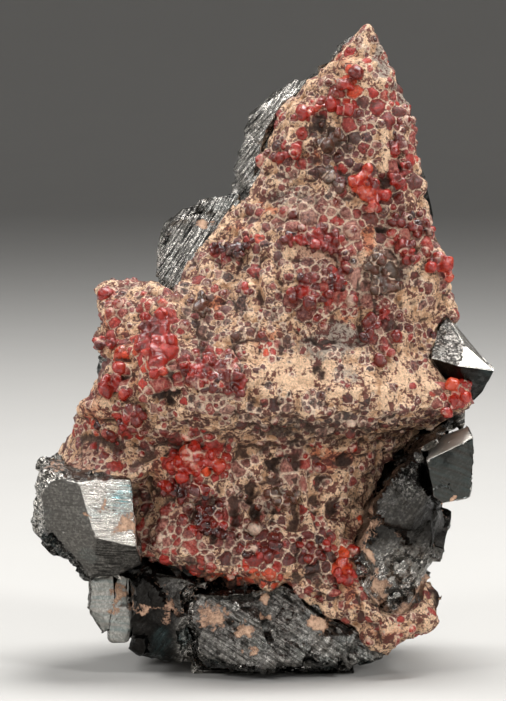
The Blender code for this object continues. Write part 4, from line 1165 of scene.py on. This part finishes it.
def spread_out(points, radii, crowding):
    """Picks places in their given order, none crowding one picked before."""
    cell = 1.4
    taken, kept = {}, []
    for i, (point, radius) in enumerate(zip(points, radii)):
        key = tuple(int(c // cell) for c in point)
        around = (
            other
            for step in itertools.product((-1, 0, 1), repeat=3)
            for other in taken.get((key[0] + step[0], key[1] + step[1], key[2] + step[2]), ())
        )
        if all(math.dist(point, points[o]) > (radius + radii[o]) * crowding for o in around):
            taken.setdefault(key, []).append(i)
            kept.append(i)
    return np.array(kept)


def joined_crystals(name, form, centres, radii, random):
    """One mesh of many crystals, each turned and stretched at random, and the crystal of each point."""
    shape, triangles = form
    count = len(centres)
    stretch = random.uniform(0.88, 1.12, (count, 1, 3))
    turned = np.einsum("nij,nvj->nvi", random_turns(count, random), shape[None] * stretch)
    points = (turned * radii[:, None, None] + centres[:, None]).reshape(-1, 3)
    offsets = np.arange(count)[:, None, None] * len(shape)
    mesh = triangle_mesh(name, points, (triangles[None] + offsets).reshape(-1, 3))
    return mesh, np.repeat(np.arange(count), len(shape))


class SPECIMEN_OT_small_garnets(bpy.types.Operator):
    """Sows the small garnets over the druse, and draws the druse up round them"""

    bl_idname = "specimen.small_garnets"
    bl_label = "Small Garnets"

    def execute(self, context):
        settings = context.scene.specimen_garnet
        random = np.random.default_rng(5)
        druse = bpy.data.objects["garnet_druse"].data
        ground, normals = read_points(druse) / MM, read_normals(druse)
        bunches = [piece for piece in bpy.data.objects if piece.name.startswith("andradite")]
        tree = point_tree(np.concatenate([read_points(bunch.data) for bunch in bunches]) / MM)
        beside = np.array([tree.find(point)[2] for point in ground])

        # Each garnet stands on a seat that no bunch covers.
        seat = read_value(druse, "seat")
        chosen = np.flatnonzero((seat > 0) & (normals[:, 1] < 0.35) & (beside > seat * 0.4))
        radii = seat[chosen] * random.uniform(0.85, 1.1, len(chosen))
        sites, up = ground[chosen], normals[chosen]
        centres = sites - up * (radii * random.uniform(0.35, 0.85, len(chosen)))[:, None]
        tone, grey, dust = (read_value(druse, name)[chosen] for name in ("tone", "dull", "dust"))
        dust = np.minimum(dust, 0.5)
        self.draw_up(druse, ground, normals, centres, radii, beside)
        forms = {"fine": garnet_form(0, 0.3), "bold": garnet_form(1, 0.5)}
        bold = radii > BOLD_RADIUS
        for size, form in forms.items():
            for band, (low, high) in BANDS.items():
                within = (sites[:, 2] >= low) & (sites[:, 2] < high)
                here = np.flatnonzero(within & (bold == (size == "bold")))
                name = f"andradite_{size}_{band}"
                mesh, owner = joined_crystals(name, form, centres[here], radii[here], random)
                points = read_points(mesh)
                own = here[owner]
                lift = np.einsum("ij,ij->i", points - sites[own], up[own]) / radii[own]
                write_value(mesh, "tone", tone[own])
                write_value(mesh, "grey", grey[own])
                write_value(mesh, "dust", 0.6 * dust[own] + 0.4 * smooth_step(0.15, -0.1, lift))
                add_piece(name, mesh, garnet_material(settings))
        return {"FINISHED"}

    @staticmethod
    def draw_up(druse, ground, normals, centres, radii, beside):
        """Raises a low rim of druse round every garnet and clears it off their tops."""
        tree = point_tree(centres)
        nearest = [tree.find_n(point, 2) for point in ground]
        rise = 0.16 * smooth_step(0.35, 0.05, beside)
        for rank in (0, 1):
            gap = np.array([found[rank][2] - radii[found[rank][1]] for found in nearest])
            rise += 0.07 * np.exp(-(((gap - 0.06) / 0.1) ** 2)) - 0.1 * smooth_step(0.0, -0.25, gap)
        write_points(druse, (ground + normals * rise[:, None]) * MM)


class SPECIMEN_OT_stage(bpy.types.Operator):
    """Sets up the plain floor, the soft lights and the camera"""

    bl_idname = "specimen.stage"
    bl_label = "Stage"

    def execute(self, context):
        settings = context.scene.specimen_stage
        self.floor(settings)
        self.light()
        self.camera(settings)
        return {"FINISHED"}

    @staticmethod
    def floor(settings):
        """A pale matte board that curves up all round into a low wall."""
        material, node, link, inputs, mm = new_material("matte_board")
        cloud = node("TexNoise", {"Vector": mm, "Scale": 0.05, "Detail": 2.0})
        shaded = tuple(channel * 0.97 for channel in settings.floor)
        link(node("Mix", {0: cloud, 6: shaded, 7: settings.floor}, 2, data_type="RGBA"), "Base Color")
        inputs["Roughness"].default_value = 0.9
        turns = np.radians(range(0, 91, 6))
        profile = [(FLAT_REACH * share, 0) for share in (0.1, 0.4, 0.7)]
        profile += [(FLAT_REACH + BEND * math.sin(turn), BEND * (1 - math.cos(turn))) for turn in turns]
        profile += [(FLAT_REACH + BEND, WALL_HEIGHT)]
        rounds = np.radians(np.arange(0, 360, 3.75))
        rings = [np.stack([r * np.cos(rounds), r * np.sin(rounds), z + 0 * rounds], 1) for r, z in profile]
        count = len(rounds)
        faces = [list(range(count))]
        for first, i in itertools.product(range(0, (len(profile) - 1) * count, count), range(count)):
            after = (i + 1) % count
            faces.append([first + i, first + count + i, first + count + after, first + after])
        mesh = bpy.data.meshes.new("floor")
        mesh.from_pydata(np.concatenate(rings).tolist(), [], faces)
        mesh.shade_smooth()
        mesh.materials.append(material)
        floor = add_object("floor", mesh)
        floor.location.z = -FLOOR_GAP

    @staticmethod
    def light():
        """A dim pale surround and six soft round lamps."""
        world = bpy.data.worlds.new("studio")
        world.use_nodes = True
        background = world.node_tree.nodes["Background"].inputs
        background["Color"].default_value = (0.83, 0.83, 0.84, 1)
        background["Strength"].default_value = SURROUND
        bpy.context.scene.world = world
        for name, (place, size, power) in LAMPS.items():
            light = bpy.data.lights.new(name, "AREA")
            light.shape = "DISK"
            light.size = size
            light.energy = power
            lamp = add_object(name, light)
            lamp.location = place
            lamp.rotation_euler = (VIEW_MIDDLE - Vector(place)).to_track_quat("-Z", "Y").to_euler()

    @staticmethod
    def camera(settings):
        """A long lens on the show face, far enough off to take in the whole height."""
        camera = bpy.data.cameras.new("camera")
        camera.lens = settings.lens_mm
        camera.clip_start, camera.clip_end = 0.01, 10
        distance = VIEW_HEIGHT / camera.sensor_width * settings.lens_mm
        eye = add_object("camera", camera)
        back = Vector((0, -math.cos(settings.elevation), math.sin(settings.elevation)))
        eye.location = VIEW_MIDDLE + back * distance
        eye.rotation_euler = (-back).to_track_quat("-Z", "Y").to_euler()
        bpy.context.scene.camera = eye
        bpy.context.scene.view_settings.view_transform = "Standard"


class SPECIMEN_PT_panel(bpy.types.Panel):
    """Lists the steps that build the specimen"""

    bl_label = "Garnet Specimen"
    bl_idname = "SPECIMEN_PT_panel"
    bl_space_type = "VIEW_3D"
    bl_region_type = "UI"
    bl_category = "Specimen"

    def draw(self, context):
        for operator in STEPS:
            self.layout.operator(operator.bl_idname)


STEPS = (
    SPECIMEN_OT_hematite_mass,
    SPECIMEN_OT_hematite_crystals,
    SPECIMEN_OT_druse,
    SPECIMEN_OT_garnet_bunches,
    SPECIMEN_OT_small_garnets,
    SPECIMEN_OT_stage,
)
SETTINGS = {
    "specimen_hematite": HematiteSettings,
    "specimen_druse": DruseSettings,
    "specimen_garnet": GarnetSettings,
    "specimen_stage": StageSettings,
}


def register():
    for cls in (*SETTINGS.values(), *STEPS, SPECIMEN_PT_panel):
        bpy.utils.register_class(cls)
    for name, cls in SETTINGS.items():
        setattr(bpy.types.Scene, name, bpy.props.PointerProperty(type=cls))


def unregister():
    for name in SETTINGS:
        delattr(bpy.types.Scene, name)
    for cls in reversed((*SETTINGS.values(), *STEPS, SPECIMEN_PT_panel)):
        bpy.utils.unregister_class(cls)


def main():
    """Builds the specimen and its stage."""
    register()
    bpy.ops.specimen.hematite_mass()
    bpy.ops.specimen.hematite_crystals()
    bpy.ops.specimen.druse()
    bpy.ops.specimen.garnet_bunches()
    bpy.ops.specimen.small_garnets()
    bpy.ops.specimen.stage()


if __name__ == "__main__":
    main()
